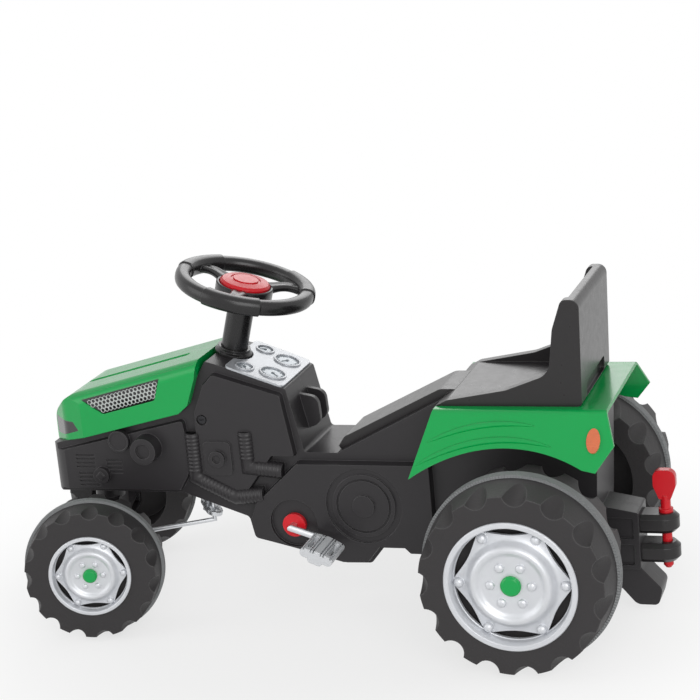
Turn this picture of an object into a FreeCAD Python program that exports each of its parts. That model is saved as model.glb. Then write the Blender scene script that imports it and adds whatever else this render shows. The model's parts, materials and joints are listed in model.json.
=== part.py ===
"""Ride-on pedal tractor: moulded body halves, bonnet, steering linkage, chain drive and wheels.

Build frame: +X forward, +Y to the driver's left, +Z up, ground at zero. Outlines are measured from
the rear axle and every placement takes off frame_shift, so the origin ends up mid-length.
"""
import FreeCAD
import Part
import math
import os
import re

Vector = FreeCAD.Vector
Rotation = FreeCAD.Rotation
X_AXIS = Vector(1, 0, 0)
Y_AXIS = Vector(0, 1, 0)
Z_AXIS = Vector(0, 0, 1)

# Driving dimensions in millimetres and degrees
SIZES = {
    "frame_shift": 317.8,
    "wall": 4.0,
    "running_clearance": 0.06,
    "free_clearance": 0.4,
    # Wheelbase, steering and drive layout
    "wheelbase": 672.0,
    "steer_rest": 14.1,
    "turn_rest": 38.0,
    "column_lean": 16.0,
    "column_x": 451.0,
    "column_z": 367.5,
    "column_reach": 104.0,
    "crank_x": 356.0,
    "crank_z": 136.0,
    "crank_throw": 58.0,
    "crank_droop": 18.0,
    # Rear wheels
    "rear_radius": 132.0,
    "rear_track": 200.0,
    "rear_tyre_half": 62.0,
    "rear_shoulder_radius": 122.0,
    "rear_scoop_radius": 17.0,
    "rear_scoop_depth": 11.0,
    "rear_band_half": 8.0,
    "rear_rim_radius": 88.0,
    "rear_lip": 8.0,
    "rear_dish": 26.0,
    "rear_dome_radius": 60.0,
    "rear_dome_height": 24.0,
    "rear_hub_radius": 15.0,
    "rear_cap_radius": 13.5,
    "rear_axle_radius": 6.0,
    # Front wheels
    "front_radius": 100.0,
    "front_track": 165.0,
    "front_tyre_half": 40.0,
    "front_shoulder_radius": 93.0,
    "front_scoop_radius": 13.0,
    "front_scoop_depth": 8.0,
    "front_band_half": 5.0,
    "front_rim_radius": 58.5,
    "front_lip": 5.5,
    "front_dish": 17.0,
    "front_dome_radius": 40.0,
    "front_dome_height": 16.0,
    "front_hub_radius": 11.0,
    "front_cap_radius": 10.0,
    "front_axle_radius": 5.0,
    "lug_count": 15,
    "band_depth": 4.0,
    "disc_thickness": 5.0,
    "lip_stand": 3.0,
    "floor_share": 0.75,
    "cap_thickness": 6.0,
    "hub_setback": 10.0,
    # Body halves
    "core_half": 62.0,
    "engine_half": 70.0,
    "console_half": 72.0,
    "chassis_half": 76.0,
    "hitch_half": 30.0,
    "hose_radius": 11.0,
    "foot_half": 24.0,
    "engine_floor": 177.0,
    "tunnel_top": 240.0,
    "panel_top": 229.0,
    # Fender deck and seat
    "deck_top": 321.0,
    "deck_half": 114.0,
    "deck_front": 125.0,
    "deck_rear": -104.0,
    "flare_bottom": 238.0,
    "flare_half": 175.0,
    "seat_half": 98.0,
    "seat_back_top": 466.0,
    "seat_side_wall": 15.0,
    "apron_half": 44.0,
    # Bonnet
    "bonnet_half": 76.0,
    "bonnet_slope": 14.8,
    "shoulder_round": 20.0,
    "trim_depth": 2.4,
    # Steering
    "wheel_radius": 100.0,
    "wheel_tube": 11.0,
    "wheel_pad_tube": 12.6,
    "wheel_hub_radius": 41.0,
    "wheel_boss_radius": 27.0,
    "sleeve_radius": 19.0,
    "collar_radius": 27.0,
    "collar_height": 11.0,
    "rod_radius": 6.0,
    "pitman_drop": 236.0,
    "pitman_arm": 27.0,
    "pitman_slot_width": 12.0,
    "horn_radius": 36.0,
    "horn_travel": 4.0,
    "link_radius": 3.2,
    "link_height": 118.0,
    "axle_arm": 62.0,
    "axle_ear_back": 24.0,
    "pivot_radius": 7.0,
    "boss_top": 174.6,
    # Drive
    "crank_rod_radius": 5.0,
    "crank_arm_plane": 88.0,
    "pedal_inner": 95.0,
    "pedal_outer": 152.0,
    "pedal_length": 48.0,
    "pedal_thickness": 20.0,
    "pedal_tilt": 22.0,
    "crank_cap_radius": 17.0,
    "crank_teeth": 12,
    "axle_teeth": 8,
    "chain_links": 70,
    "chain_plane": 25.0,
    "roller_radius": 3.2,
    "sprocket_width": 3.0,
    "tooth_height": 2.2,
    # Hitch
    "loop_half": 21.0,
    "loop_height": 27.0,
    "loop_upper": 127.0,
    "loop_lower": 85.0,
    "tow_pin_x": -158.0,
    "tow_pin_radius": 7.0,
}

doc = FreeCAD.newDocument("pedal_tractor")
sheet = doc.addObject("Spreadsheet::Sheet", "Sizes")
for row, (alias, number) in enumerate(SIZES.items(), start=1):
    sheet.set("A%d" % row, alias)
    sheet.set("B%d" % row, str(number))
    sheet.setAlias("B%d" % row, alias)
doc.recompute()

parts = []


def size(alias):
    return float(sheet.get(alias))


def bind(target, name, formula):
    """Tie a property to the sheet; bare words in the formula are aliases of its cells."""
    target.setExpression(name, re.sub(r"\b([a-z][a-z_]+)\b(?!\()", r"Sizes.\1", str(formula)))


def tilt(angle):
    """Turn about Y that lifts the local X axis by the angle."""
    return Rotation(Y_AXIS, -angle)


def spin(angle):
    return Rotation(Z_AXIS, angle)


def new_body(label, x="0", y="0", z="0", rotation=None, kept=True):
    body = doc.addObject("PartDesign::Body", label)
    body.Label = label
    if rotation:
        body.Placement = FreeCAD.Placement(Vector(), rotation)
    bind(body, "Placement.Base.x", "%s - frame_shift" % x)
    bind(body, "Placement.Base.y", y)
    bind(body, "Placement.Base.z", z)
    if kept:
        parts.append(body)
    return body


def cut_away(label, base, tool):
    """A form with another form taken out of it."""
    result = doc.addObject("Part::Cut", label)
    result.Label = label
    result.Base = base
    result.Tool = tool
    parts.append(result)
    return result


def origin_feature(body, role):
    return next(item for item in body.Origin.OriginFeatures if item.Role == role)


def outline(points):
    """Closed edges through (x, y) or (x, y, corner radius) points."""
    edges = []
    starts = []
    ends = []
    count = len(points)
    for index, point in enumerate(points):
        corner = Vector(point[0], point[1], 0)
        radius = point[2] if len(point) > 2 else 0
        before = Vector(*points[index - 1][:2], 0)
        after = Vector(*points[(index + 1) % count][:2], 0)
        if radius == 0:
            starts.append(corner)
            ends.append(corner)
            continue
        back = (before - corner).normalize()
        ahead = (after - corner).normalize()
        half = back.getAngle(ahead) / 2
        reach = radius / math.tan(half)
        middle = (back + ahead).normalize() * (radius / math.sin(half) - radius)
        starts.append(corner + back * reach)
        ends.append(corner + ahead * reach)
        edges.append(Part.Arc(starts[-1], corner + middle, ends[-1]))
    for index in range(count):
        start = ends[index]
        end = starts[(index + 1) % count]
        if start.distanceToPoint(end) > 1e-6:
            edges.append(Part.LineSegment(start, end))
    return edges


def inset(points, distance):
    """The same outline moved inwards, with square corners."""
    pairs = list(zip(points, points[1:] + points[:1]))
    area = sum(a[0] * b[1] - b[0] * a[1] for a, b in pairs)
    inward = 1 if area > 0 else -1
    lines = []
    for start, end in pairs:
        run = Vector(end[0] - start[0], end[1] - start[1], 0).normalize()
        normal = Vector(-run.y, run.x, 0) * inward
        lines.append((Vector(start[0], start[1], 0) + normal * distance, run))
    moved = []
    for index in range(len(lines)):
        base, run = lines[index - 1]
        other, side = lines[index]
        gap = other - base
        along = (gap.x * side.y - gap.y * side.x) / (run.x * side.y - run.y * side.x)
        crossing = base + run * along
        moved.append((crossing.x, crossing.y))
    return moved


def circle(x, y, radius):
    return [Part.Circle(Vector(x, y, 0), Z_AXIS, radius)]


def arc(start, middle, end):
    return Part.Arc(Vector(*start, 0), Vector(*middle, 0), Vector(*end, 0))


def polygon(x, y, radius, sides=6):
    angles = [2 * math.pi * k / sides for k in range(sides)]
    return outline([(x + radius * math.cos(a), y + radius * math.sin(a)) for a in angles])


def box(x_low, x_high, y_low, y_high, radius=0):
    return outline([(x_low, y_low, radius), (x_high, y_low, radius),
                    (x_high, y_high, radius), (x_low, y_high, radius)])


def draw(body, role, edges, offset=0, rotation=None, at=None):
    """Sketch on one of the body's own planes, moved along its normal or to its own seat."""
    sketch = body.newObject("Sketcher::SketchObject", "sketch")
    sketch.AttachmentSupport = (origin_feature(body, role), [""])
    sketch.MapMode = "FlatFace"
    seat = at if at else Vector(0, 0, offset)
    sketch.AttachmentOffset = FreeCAD.Placement(seat, rotation if rotation else Rotation())
    for edge in edges:
        sketch.addGeometry(edge, False)
    return sketch


def pad(body, sketch, length, reverse=False, both=False, taper=0):
    feature = body.newObject("PartDesign::Pad", "pad")
    feature.Profile = sketch
    bind(feature, "Length", length)
    feature.Reversed = reverse
    feature.TaperAngle = taper
    if both:
        feature.SideType = "Symmetric"
    return feature


def pocket(body, sketch, length, reverse=False, both=False):
    feature = body.newObject("PartDesign::Pocket", "pocket")
    feature.Profile = sketch
    bind(feature, "Length", length)
    feature.Reversed = reverse
    if both:
        feature.SideType = "Symmetric"
    return feature


def revolve(body, sketch, angle=360):
    """Turn a profile about the sketch's own vertical axis."""
    feature = body.newObject("PartDesign::Revolution", "revolution")
    feature.Profile = sketch
    feature.ReferenceAxis = (sketch, ["V_Axis"])
    feature.Angle = angle
    return feature


def bevel_edges(body, feature, chosen, width):
    """Chamfer of the feature's edges that the test picks out."""
    doc.recompute()
    names = ["Edge%d" % number for number, edge in enumerate(feature.Shape.Edges, start=1) if chosen(edge)]
    chamfer = body.newObject("PartDesign::Chamfer", "chamfer")
    chamfer.Base = (feature, names)
    chamfer.Size = width
    return chamfer


def ring_pattern(body, originals, count, role="Y_Axis"):
    feature = body.newObject("PartDesign::PolarPattern", "ring")
    feature.Originals = originals
    feature.Axis = (origin_feature(body, role), [""])
    feature.Angle = 360
    bind(feature, "Occurrences", count)
    body.Tip = feature
    return feature


def route(points):
    """Open edges along straight runs."""
    return [Part.LineSegment(Vector(*start, 0), Vector(*end, 0)) for start, end in zip(points, points[1:])]


def pipe(body, profile, spine):
    """Round bar along a route, with sharp bends."""
    feature = body.newObject("PartDesign::AdditivePipe", "pipe")
    feature.Profile = profile
    feature.Spine = spine
    feature.Transition = "Right corner"
    return feature


# Wheels: local Y is the axle, outward on the left wheel


def wheel_body(kind, name, side):
    """Body of one wheel piece at its place on the axle; right wheels are turned about Z."""
    label = "%s_%s_%s" % (kind, name, "left" if side > 0 else "right")
    turn = 0 if side > 0 else 180
    if kind == "rear":
        return new_body(label, "0", "%d * rear_track" % side, "rear_radius", spin(turn))
    across = "%d * front_track" % side
    return new_body(label, "wheelbase - sin(steer_rest) * " + across, "cos(steer_rest) * " + across,
                    "front_radius", spin(turn + size("steer_rest")))


def rim_levels(kind):
    """Axial stations of a rim: lip face, disc, its back, floor inside the domed ring, the ring's top."""
    face = size(kind + "_tyre_half") + size("lip_stand")
    disc = face - size(kind + "_dish")
    height = size(kind + "_dome_height")
    return face, disc, disc - size("disc_thickness"), disc + size("floor_share") * height, disc + height


def tyre(kind, side):
    """Blow-moulded tyre with a web behind the rim, a hub, a hollow ring and scooped lugs."""
    body = wheel_body(kind, "tyre", side)
    half = size(kind + "_tyre_half")
    rim_radius = size(kind + "_rim_radius")
    shoulder = size(kind + "_shoulder_radius")
    crown = size(kind + "_radius") - size("band_depth")
    band = size(kind + "_band_half")
    wall = size("wall")
    bore = size(kind + "_axle_radius") + size("running_clearance")
    hub = size(kind + "_hub_radius")
    hub_end = size("hub_setback") - half
    web = rim_levels(kind)[2]
    section = [(bore, web), (rim_radius, web), (rim_radius, half), (shoulder, half), (crown, band),
               (crown, -band), (shoulder, -half), (rim_radius, -half), (rim_radius, web - wall),
               (hub, web - wall), (hub, hub_end), (bore, hub_end)]
    revolve(body, draw(body, "XY_Plane", outline(section)))
    depth = size(kind + "_scoop_depth")
    under = [(rim_radius + wall, half - wall), (shoulder - depth - wall, half - wall),
             (crown - 1.5 * wall, band)]
    groove = body.newObject("PartDesign::Groove", "hollow")
    groove.Profile = draw(body, "XY_Plane", outline(under + [(r, -y) for r, y in reversed(under)]))
    groove.ReferenceAxis = (groove.Profile[0], ["V_Axis"])
    groove.Angle = 360
    radius = size(kind + "_scoop_radius")
    centre = shoulder - depth + radius
    run = half - 1.5 * band
    climb = math.degrees(math.atan2(size(kind + "_radius") - shoulder + depth, run))
    for face, turn in ((1, 0), (-1, 180 / size("lug_count"))):
        heading = math.radians(turn)
        seat = Vector(centre * math.cos(heading), centre * math.sin(heading), -face * half)
        lean = spin(turn) * Rotation(Y_AXIS, face * climb)
        scoop = draw(body, "XZ_Plane", circle(0, 0, radius), rotation=lean, at=seat)
        cut = pocket(body, scoop, run, reverse=face > 0)
        cut.Length2 = 2 * wall
        cut.SideType = "Two sides"
        ring_pattern(body, [cut], "lug_count")


def tread_band(kind, side):
    """Grip band round the middle of the tyre; it touches the ground."""
    body = wheel_body(kind, "tread_band", side)
    radius = size(kind + "_radius")
    half = size(kind + "_band_half")
    seat = radius - size("band_depth")
    revolve(body, draw(body, "XY_Plane", box(seat, radius, -half, half)))


def rim(kind, side):
    """Dished rim: outer lip, disc with six windows cut along chords, studs, domed ring and bolts."""
    body = wheel_body(kind, "rim", side)
    radius = size(kind + "_rim_radius")
    face, disc, back, floor, top = rim_levels(kind)
    lip = radius - size(kind + "_lip")
    dome = size(kind + "_dome_radius")
    bore = size(kind + "_axle_radius") + size("running_clearance")
    section = [(bore, floor), (bore, back), (radius, back), (radius, face), (lip, face), (lip, disc),
               (dome, disc),
               (dome - 0.09 * radius, top), (dome - 0.17 * radius, top), (dome - 0.24 * radius, floor)]
    revolve(body, draw(body, "XY_Plane", outline(section)))
    outer = lip - 3
    spread = math.radians(26)
    ends = [(outer * math.cos(spread), way * outer * math.sin(spread)) for way in (-1, 1)]
    chord = Part.LineSegment(Vector(*ends[1], 0), Vector(*ends[0], 0))
    window = [arc(ends[0], (outer, 0), ends[1]), chord]
    cut = pocket(body, draw(body, "XZ_Plane", window, -disc - 1), "disc_thickness + 2", reverse=True)
    ring_pattern(body, [cut], 6)
    step = math.radians(30)
    stud_at = outer - 0.07 * radius
    stud = circle(stud_at * math.cos(step), stud_at * math.sin(step), 0.075 * radius)
    post = pad(body, draw(body, "XZ_Plane", stud, -disc + 1), "%s_dome_height * 0.3 + 1" % kind, reverse=True)
    ring_pattern(body, [post], 6)
    bolt_at = 0.31 * radius
    head = polygon(bolt_at * math.cos(step), bolt_at * math.sin(step), 0.07 * radius)
    bolt_height = "%s_dome_height * 0.15 + 1" % kind
    bolt = pad(body, draw(body, "XZ_Plane", head, -floor + 1), bolt_height, reverse=True)
    ring_pattern(body, [bolt], 6)


def cap(kind, side):
    """Push-on cap over the axle end."""
    body = wheel_body(kind, "cap", side)
    floor = rim_levels(kind)[3]
    radius = size(kind + "_cap_radius")
    thick = size("cap_thickness")
    section = [(0, floor), (radius, floor), (radius, floor + 0.6 * thick), (0.8 * radius, floor + thick),
               (0, floor + thick)]
    revolve(body, draw(body, "XY_Plane", outline(section)))


for wheel_side in (1, -1):
    for wheel_kind in ("rear", "front"):
        tyre(wheel_kind, wheel_side)
        tread_band(wheel_kind, wheel_side)
        rim(wheel_kind, wheel_side)
        cap(wheel_kind, wheel_side)




# Moulded body halves: outlines are (x, z) from the rear axle, the seam is the plane y = 0

WHEELBASE = size("wheelbase")
CRANK_X = size("crank_x")
CRANK_Z = size("crank_z")
COLUMN_X = size("column_x")
COLUMN_Z = size("column_z")
DECK_FLOOR = size("deck_top") - size("wall")
ENGINE_FLOOR = size("engine_floor")
TUNNEL_TOP = size("tunnel_top")
PANEL_TOP = size("panel_top")
LEAN = size("column_lean")
PIVOT_BLOCK = 22.0
PIVOT_BLOCK_TOP = ENGINE_FLOOR + 46
AXLE_Z = size("rear_radius")
HITCH_REAR = -125.0
NOSE_X = WHEELBASE + 58
NOSE_ROUND = 40.0
SILL_Z = ENGINE_FLOOR + 70

CORE_OUTLINE = [
    (NOSE_X + 2, ENGINE_FLOOR, 12), (NOSE_X, SILL_Z, 4),
    (COLUMN_X + 63, COLUMN_Z - 68, 6), (COLUMN_X + 48, COLUMN_Z - 56, 8), (COLUMN_X + 33, COLUMN_Z - 16, 4),
    (COLUMN_X + 20, COLUMN_Z + 5.7, 3), (COLUMN_X - 15, COLUMN_Z - 4.3), (COLUMN_X - 97, COLUMN_Z - 34.7, 5),
    (COLUMN_X - 116, TUNNEL_TOP, 6), (286, TUNNEL_TOP), (132, DECK_FLOOR), (-84, DECK_FLOOR, 10),
    (-76, AXLE_Z + 28, 10), (-70, 92, 6), (192, 92, 4), (200, 100), (CRANK_X - 125, 100),
    (CRANK_X - 106, 77, 8), (CRANK_X - 68, 76, 10), (CRANK_X, 95), (CRANK_X + 66, 110, 8),
    (CRANK_X + 72, 142, 8), (WHEELBASE - 146, ENGINE_FLOOR, 20),
]
ENGINE_OUTLINE = [
    (WHEELBASE - 146, ENGINE_FLOOR + 4, 5), (NOSE_X - 6, ENGINE_FLOOR + 4, 10),
    (NOSE_X - 6, SILL_Z - 8, 6), (COLUMN_X + 60, COLUMN_Z - 78, 6), (COLUMN_X + 52, COLUMN_Z - 150, 8),
]
CONSOLE_OUTLINE = [
    (COLUMN_X - 106, PANEL_TOP + 6, 5), (COLUMN_X - 92, COLUMN_Z - 40, 8), (COLUMN_X + 8, COLUMN_Z - 9, 8),
    (COLUMN_X + 25, COLUMN_Z - 26, 6), (COLUMN_X + 42, COLUMN_Z - 66, 8), (COLUMN_X + 46, PANEL_TOP - 30, 8),
    (COLUMN_X - 24, PANEL_TOP - 54, 8), (COLUMN_X - 70, PANEL_TOP + 6),
]
CHASSIS_OUTLINE = [
    (CRANK_X - 11, PANEL_TOP, 6), (CRANK_X + 56, 168, 10), (CRANK_X + 67, 142), (CRANK_X + 61, 114, 6),
    (CRANK_X, 99), (CRANK_X - 68, 80, 9), (CRANK_X - 105, 81, 6), (CRANK_X - 124, 104), (196, 104),
    (190, 97, 4), (150, 97, 6), (150, PANEL_TOP, 6),
]
HITCH_OUTLINE = [
    (-66, AXLE_Z + 27), (HITCH_REAR, AXLE_Z + 16, 3), (HITCH_REAR, 66, 3), (-66, 66),
]
FOOT_OUTLINE = [
    (-68, 92), (-122, 92, 4), (-124, 66, 14), (-152, 36, 10), (-146, 12, 8), (-116, 12, 14), (-96, 36, 14),
    (-68, 48),
]

HOSES = [
    [(COLUMN_X + 48, COLUMN_Z - 98), (COLUMN_X + 48, COLUMN_Z - 164), (COLUMN_X - 10, COLUMN_Z - 193),
     (COLUMN_X - 52, COLUMN_Z - 189)],
    [(COLUMN_X - 33, COLUMN_Z - 95), (COLUMN_X - 33, COLUMN_Z - 148), (COLUMN_X - 84, COLUMN_Z - 153)],
]


def side_draw(body, side, edges, level):
    """Side-view sketch at a distance from the seam, on the half's own side."""
    return draw(body, "XZ_Plane", edges, -side * level)


def raise_side(body, side, edges, level, length, taper=0):
    return pad(body, side_draw(body, side, edges, level), length, reverse=side > 0, taper=taper)


def sink_side(body, side, edges, level, length):
    """Cut inwards from a level on the outside towards the seam."""
    return pocket(body, side_draw(body, side, edges, level), length, reverse=side > 0)


def hollow_side(body, side, edges, length):
    """Cut outwards from the seam."""
    return pocket(body, side_draw(body, side, edges, 0), length, reverse=side < 0)


def column_cut(body, radius, low, high):
    """Round cut about the leaning steering column between two stations along it."""
    slope = math.radians(LEAN)
    base = Vector(COLUMN_X - low * math.sin(slope), 0, COLUMN_Z + low * math.cos(slope))
    sketch = draw(body, "XY_Plane", circle(0, 0, radius), rotation=tilt(LEAN), at=base)
    return pocket(body, sketch, high - low, reverse=True)


def engine_details(body, side):
    """Louvres, distributor, filter drums and pipe flange moulded on the engine side."""
    face = size("engine_half")
    slots = []
    for row in range(4):
        for low, high, base in ((-20, 12, 10), (-58, -34, 30), (-16, 14, 38)):
            level = ENGINE_FLOOR + base + 6 * row
            slots += box(WHEELBASE + low, WHEELBASE + high, level, level + 2.6)
    sink_side(body, side, slots, face, 2.5)
    hub = (WHEELBASE - 26, ENGINE_FLOOR + 28)
    raise_side(body, side, circle(*hub, 12), face - 3, 11)
    raise_side(body, side, polygon(*hub, 7, 4), face + 7, 3)
    small = (COLUMN_X + 161, COLUMN_Z - 110)
    raise_side(body, side, circle(*small, 16), face - 1, 9)
    sink_side(body, side, circle(*small, 13.5), face + 8, 1.5)
    large = (COLUMN_X + 118, COLUMN_Z - 120)
    raise_side(body, side, circle(*large, 21), face - 1, 23, taper=-4)
    sink_side(body, side, circle(*large, 11), face + 22, 4)


def console_details(body, side):
    """Screw recess, flanged plate and rear ear of the console."""
    face = size("console_half")
    screw = (COLUMN_X + 30, COLUMN_Z - 78)
    sink_side(body, side, circle(*screw, 8), face, 4)
    plate = (COLUMN_X + 11, COLUMN_Z - 134)
    raise_side(body, side, box(plate[0] - 21, plate[0] + 21, plate[1] - 25, plate[1] + 25, 8), face - 1, 4)
    raise_side(body, side, circle(*plate, 12), face + 2, 6)
    sink_side(body, side, circle(*plate, 6.5), face + 8, 3)
    ear = [(COLUMN_X - 99, COLUMN_Z - 54), (COLUMN_X - 128, COLUMN_Z - 60, 14),
           (COLUMN_X - 130, COLUMN_Z - 98, 14),
           (COLUMN_X - 108, COLUMN_Z - 106)]
    raise_side(body, side, outline(ear), 12, 8)


def hoses(body, side):
    """Two bent hoses moulded half sunk into the side."""
    level = size("engine_half") - 6
    for points in HOSES:
        end = draw(body, "XY_Plane", circle(points[0][0], side * level, size("hose_radius")), points[0][1])
        pipe(body, end, side_draw(body, side, route(points), level))


def round_nose(body, side):
    """Front corner rounded in plan, below the bonnet's own rounded nose."""
    inner = size("engine_half") + 2 - NOSE_ROUND
    base = NOSE_X - NOSE_ROUND
    bend = NOSE_ROUND * math.sqrt(0.5)
    far = NOSE_X + NOSE_ROUND
    top = (base, side * (inner + NOSE_ROUND))
    low = (NOSE_X + 2, side * inner)
    wide = side * (inner + 2 * NOSE_ROUND)
    path = [low, (far, side * inner), (far, wide), (base, wide), top]
    edges = [arc(top, (base + bend + 1, side * (inner + bend)), low)] + route(path)
    corner = draw(body, "XY_Plane", edges, ENGINE_FLOOR - 20)
    pocket(body, corner, 2 * NOSE_ROUND + SILL_Z - ENGINE_FLOOR, reverse=True)


def chassis_details(body, side):
    """Crank recess, round cover rings and the bare lower panel."""
    face = size("chassis_half")
    sink_side(body, side, circle(CRANK_X, CRANK_Z + 3, 35), face, 6)
    cover = (CRANK_X - 106, CRANK_Z + 31)
    rings = []
    for radius in (55, 46, 40, 37):
        rings += circle(*cover, radius)
    sink_side(body, side, rings, face, 3)
    raise_side(body, side, circle(*cover, 16), face - 1, 4)


def body_half(side):
    body = new_body("body_left")
    raise_side(body, side, outline(CORE_OUTLINE), 0, "core_half")
    raise_side(body, side, outline(HITCH_OUTLINE), 0, "hitch_half")
    raise_side(body, side, outline(FOOT_OUTLINE), 0, "foot_half")
    space = inset(CORE_OUTLINE, size("wall"))
    space[:2] = [(x - NOSE_ROUND, z) for x, z in space[:2]]
    hollow_side(body, side, outline(space), "core_half - wall")
    level = size("core_half") - 1
    raise_side(body, side, outline(ENGINE_OUTLINE), level, "engine_half - core_half + 1", -12)
    raise_side(body, side, outline(CONSOLE_OUTLINE), level, "console_half - core_half + 1", -12)
    raise_side(body, side, outline(CHASSIS_OUTLINE), level, "chassis_half - core_half + 1", -8)
    block = box(WHEELBASE - PIVOT_BLOCK, WHEELBASE + PIVOT_BLOCK, ENGINE_FLOOR, PIVOT_BLOCK_TOP)
    raise_side(body, side, block, 0, PIVOT_BLOCK)
    windows = []
    for low in (72, 110):
        windows += box(HITCH_REAR + 8, -74, low, low + 30, 3)
    sink_side(body, side, windows, size("hitch_half"), 4)
    round_nose(body, side)
    engine_details(body, side)
    console_details(body, side)
    chassis_details(body, side)
    hoses(body, side)
    crank_seat = circle(CRANK_X, CRANK_Z, size("crank_cap_radius") - 6)
    sink_side(body, side, crank_seat, size("chassis_half"), "chassis_half")
    sink_side(body, side, circle(0, AXLE_Z, size("rear_axle_radius") + 5), size("core_half"), "core_half")
    stem = draw(body, "XY_Plane", circle(WHEELBASE, 0, size("pivot_radius")), ENGINE_FLOOR - 1)
    pocket(body, stem, 40, reverse=True)
    column_cut(body, size("sleeve_radius") + size("free_clearance"), -30, 40)
    column_cut(body, size("rod_radius") + size("free_clearance"), -260, -20)
    return body


def mirror(source, label):
    """Opposite-hand copy of a piece across the seam."""
    copy = doc.addObject("Part::Mirroring", label)
    copy.Label = label
    copy.Source = source
    copy.Normal = Y_AXIS
    parts.append(copy)
    return copy


mirror(body_half(1), "body_right")


# Bonnet, lamps and grilles

BONNET_FRONT = (NOSE_X, SILL_Z)
BONNET_CROWN = (COLUMN_X + 29, COLUMN_Z + 9)
BONNET_OUTLINE = [
    BONNET_FRONT, (COLUMN_X + 63, COLUMN_Z - 68, 6), (COLUMN_X + 48, COLUMN_Z - 56, 8),
    (COLUMN_X + 33, COLUMN_Z - 16, 4), BONNET_CROWN, (WHEELBASE + 18, ENGINE_FLOOR + 146, 60),
    (NOSE_X - 3, ENGINE_FLOOR + 112, 34),
]
BONNET_BROW = BONNET_OUTLINE[5]
BONNET_FALL = math.degrees(math.atan2(BONNET_CROWN[1] - BONNET_BROW[1], BONNET_BROW[0] - BONNET_CROWN[0]))
LAMP_OUTLINE = [
    (WHEELBASE + 3, ENGINE_FLOOR + 95), (WHEELBASE + 12, ENGINE_FLOOR + 107),
    (WHEELBASE + 100, ENGINE_FLOOR + 109), (WHEELBASE + 100, ENGINE_FLOOR + 74),
    (WHEELBASE + 36, ENGINE_FLOOR + 84),
]
LAMP_INNER = 36.0
GRILLE_OUTLINE = [
    (COLUMN_X + 213, COLUMN_Z - 48), (COLUMN_X + 87, COLUMN_Z - 16, 3), (COLUMN_X + 97, COLUMN_Z - 48, 6),
    (COLUMN_X + 180, COLUMN_Z - 69, 8),
]
FAR = 400.0


def bonnet_plan(margin):
    """Plan outline with a rounded nose, moved inwards by a margin."""
    half = size("bonnet_half") - margin
    flank = [(COLUMN_X - 20, half + 2), (WHEELBASE - 10, half + 2),
             (WHEELBASE + 28 - 0.4 * margin, half - 13, 30), (NOSE_X + 3 - margin, 28 - margin, 24)]
    return flank + [(x, -y, *rest) for x, y, *rest in reversed(flank)]


def trim_plan(body, margin):
    half = size("bonnet_half")
    frame = box(COLUMN_X - 30, WHEELBASE + 120, -half - 20, half + 20)
    sketch = draw(body, "XY_Plane", frame + outline(bonnet_plan(margin)), ENGINE_FLOOR)
    pocket(body, sketch, FAR, reverse=True)


def bonnet_form(label):
    """Outside of the hood: sloping top, rounded nose and rounded shoulders."""
    body = new_body(label, kept=False)
    half = size("bonnet_half")
    pad(body, draw(body, "XZ_Plane", outline(BONNET_OUTLINE)), "2 * bonnet_half", both=True)
    trim_plan(body, 0)
    radius = size("shoulder_round")
    bend = radius * (1 - math.sqrt(0.5))
    corners = []
    for way in (1, -1):
        inner = (way * (half - radius), 0)
        outer = (way * half, -radius)
        corners.append(arc(inner, (way * (half - bend), -bend), outer))
        path = [outer, (way * (half + 5), -radius), (way * (half + 5), 5), (way * (half - radius), 5), inner]
        corners += [Part.LineSegment(Vector(*a, 0), Vector(*b, 0)) for a, b in zip(path, path[1:])]
    seat = Vector(0, BONNET_CROWN[1] + 10, BONNET_CROWN[0] - 10 / math.tan(math.radians(BONNET_FALL)))
    shoulders = draw(body, "YZ_Plane", corners, rotation=Rotation(X_AXIS, BONNET_FALL), at=seat)
    pocket(body, shoulders, FAR, reverse=True)
    return body


def bonnet_hollow():
    """Space under the hood, open below."""
    body = new_body("bonnet_hollow", kept=False)
    wall = size("wall")
    space = inset(BONNET_OUTLINE, wall)
    space[0] = (space[0][0], space[0][1] - 4 * wall)
    space[1] = (space[1][0], space[1][1] - 4 * wall)
    pad(body, draw(body, "XZ_Plane", outline(space)), "2 * (bonnet_half - 2 * wall)", both=True)
    trim_plan(body, wall)
    return body


def bonnet(hollow):
    body = bonnet_form("bonnet_form")
    groove = box(40, 224, -7, 7, 6.5)
    crown = Vector(BONNET_CROWN[0], 0, BONNET_CROWN[1])
    pocket(body, draw(body, "XY_Plane", groove, rotation=tilt(-BONNET_FALL), at=crown), 1.5)
    for side in (1, -1):
        sink_side(body, side, outline(GRILLE_OUTLINE), size("bonnet_half"), "trim_depth")
        pocket(body, side_draw(body, side, outline(LAMP_OUTLINE), LAMP_INNER), FAR, reverse=side < 0)
    cut_away("bonnet", body, hollow)


def headlamp(hollow):
    """Dark lamp inset that continues the bonnet's own wall round the nose corner."""
    body = bonnet_form("headlamp_form")
    frame = box(COLUMN_X - 30, WHEELBASE + 120, ENGINE_FLOOR, ENGINE_FLOOR + 300) + outline(LAMP_OUTLINE)
    pocket(body, draw(body, "XZ_Plane", frame), FAR, both=True)
    rest = box(COLUMN_X, WHEELBASE + 110, ENGINE_FLOOR + 40, ENGINE_FLOOR + 280)
    pocket(body, draw(body, "XZ_Plane", rest, -LAMP_INNER), FAR, reverse=True)
    mirror(cut_away("headlamp_left", body, hollow), "headlamp_right")


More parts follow.
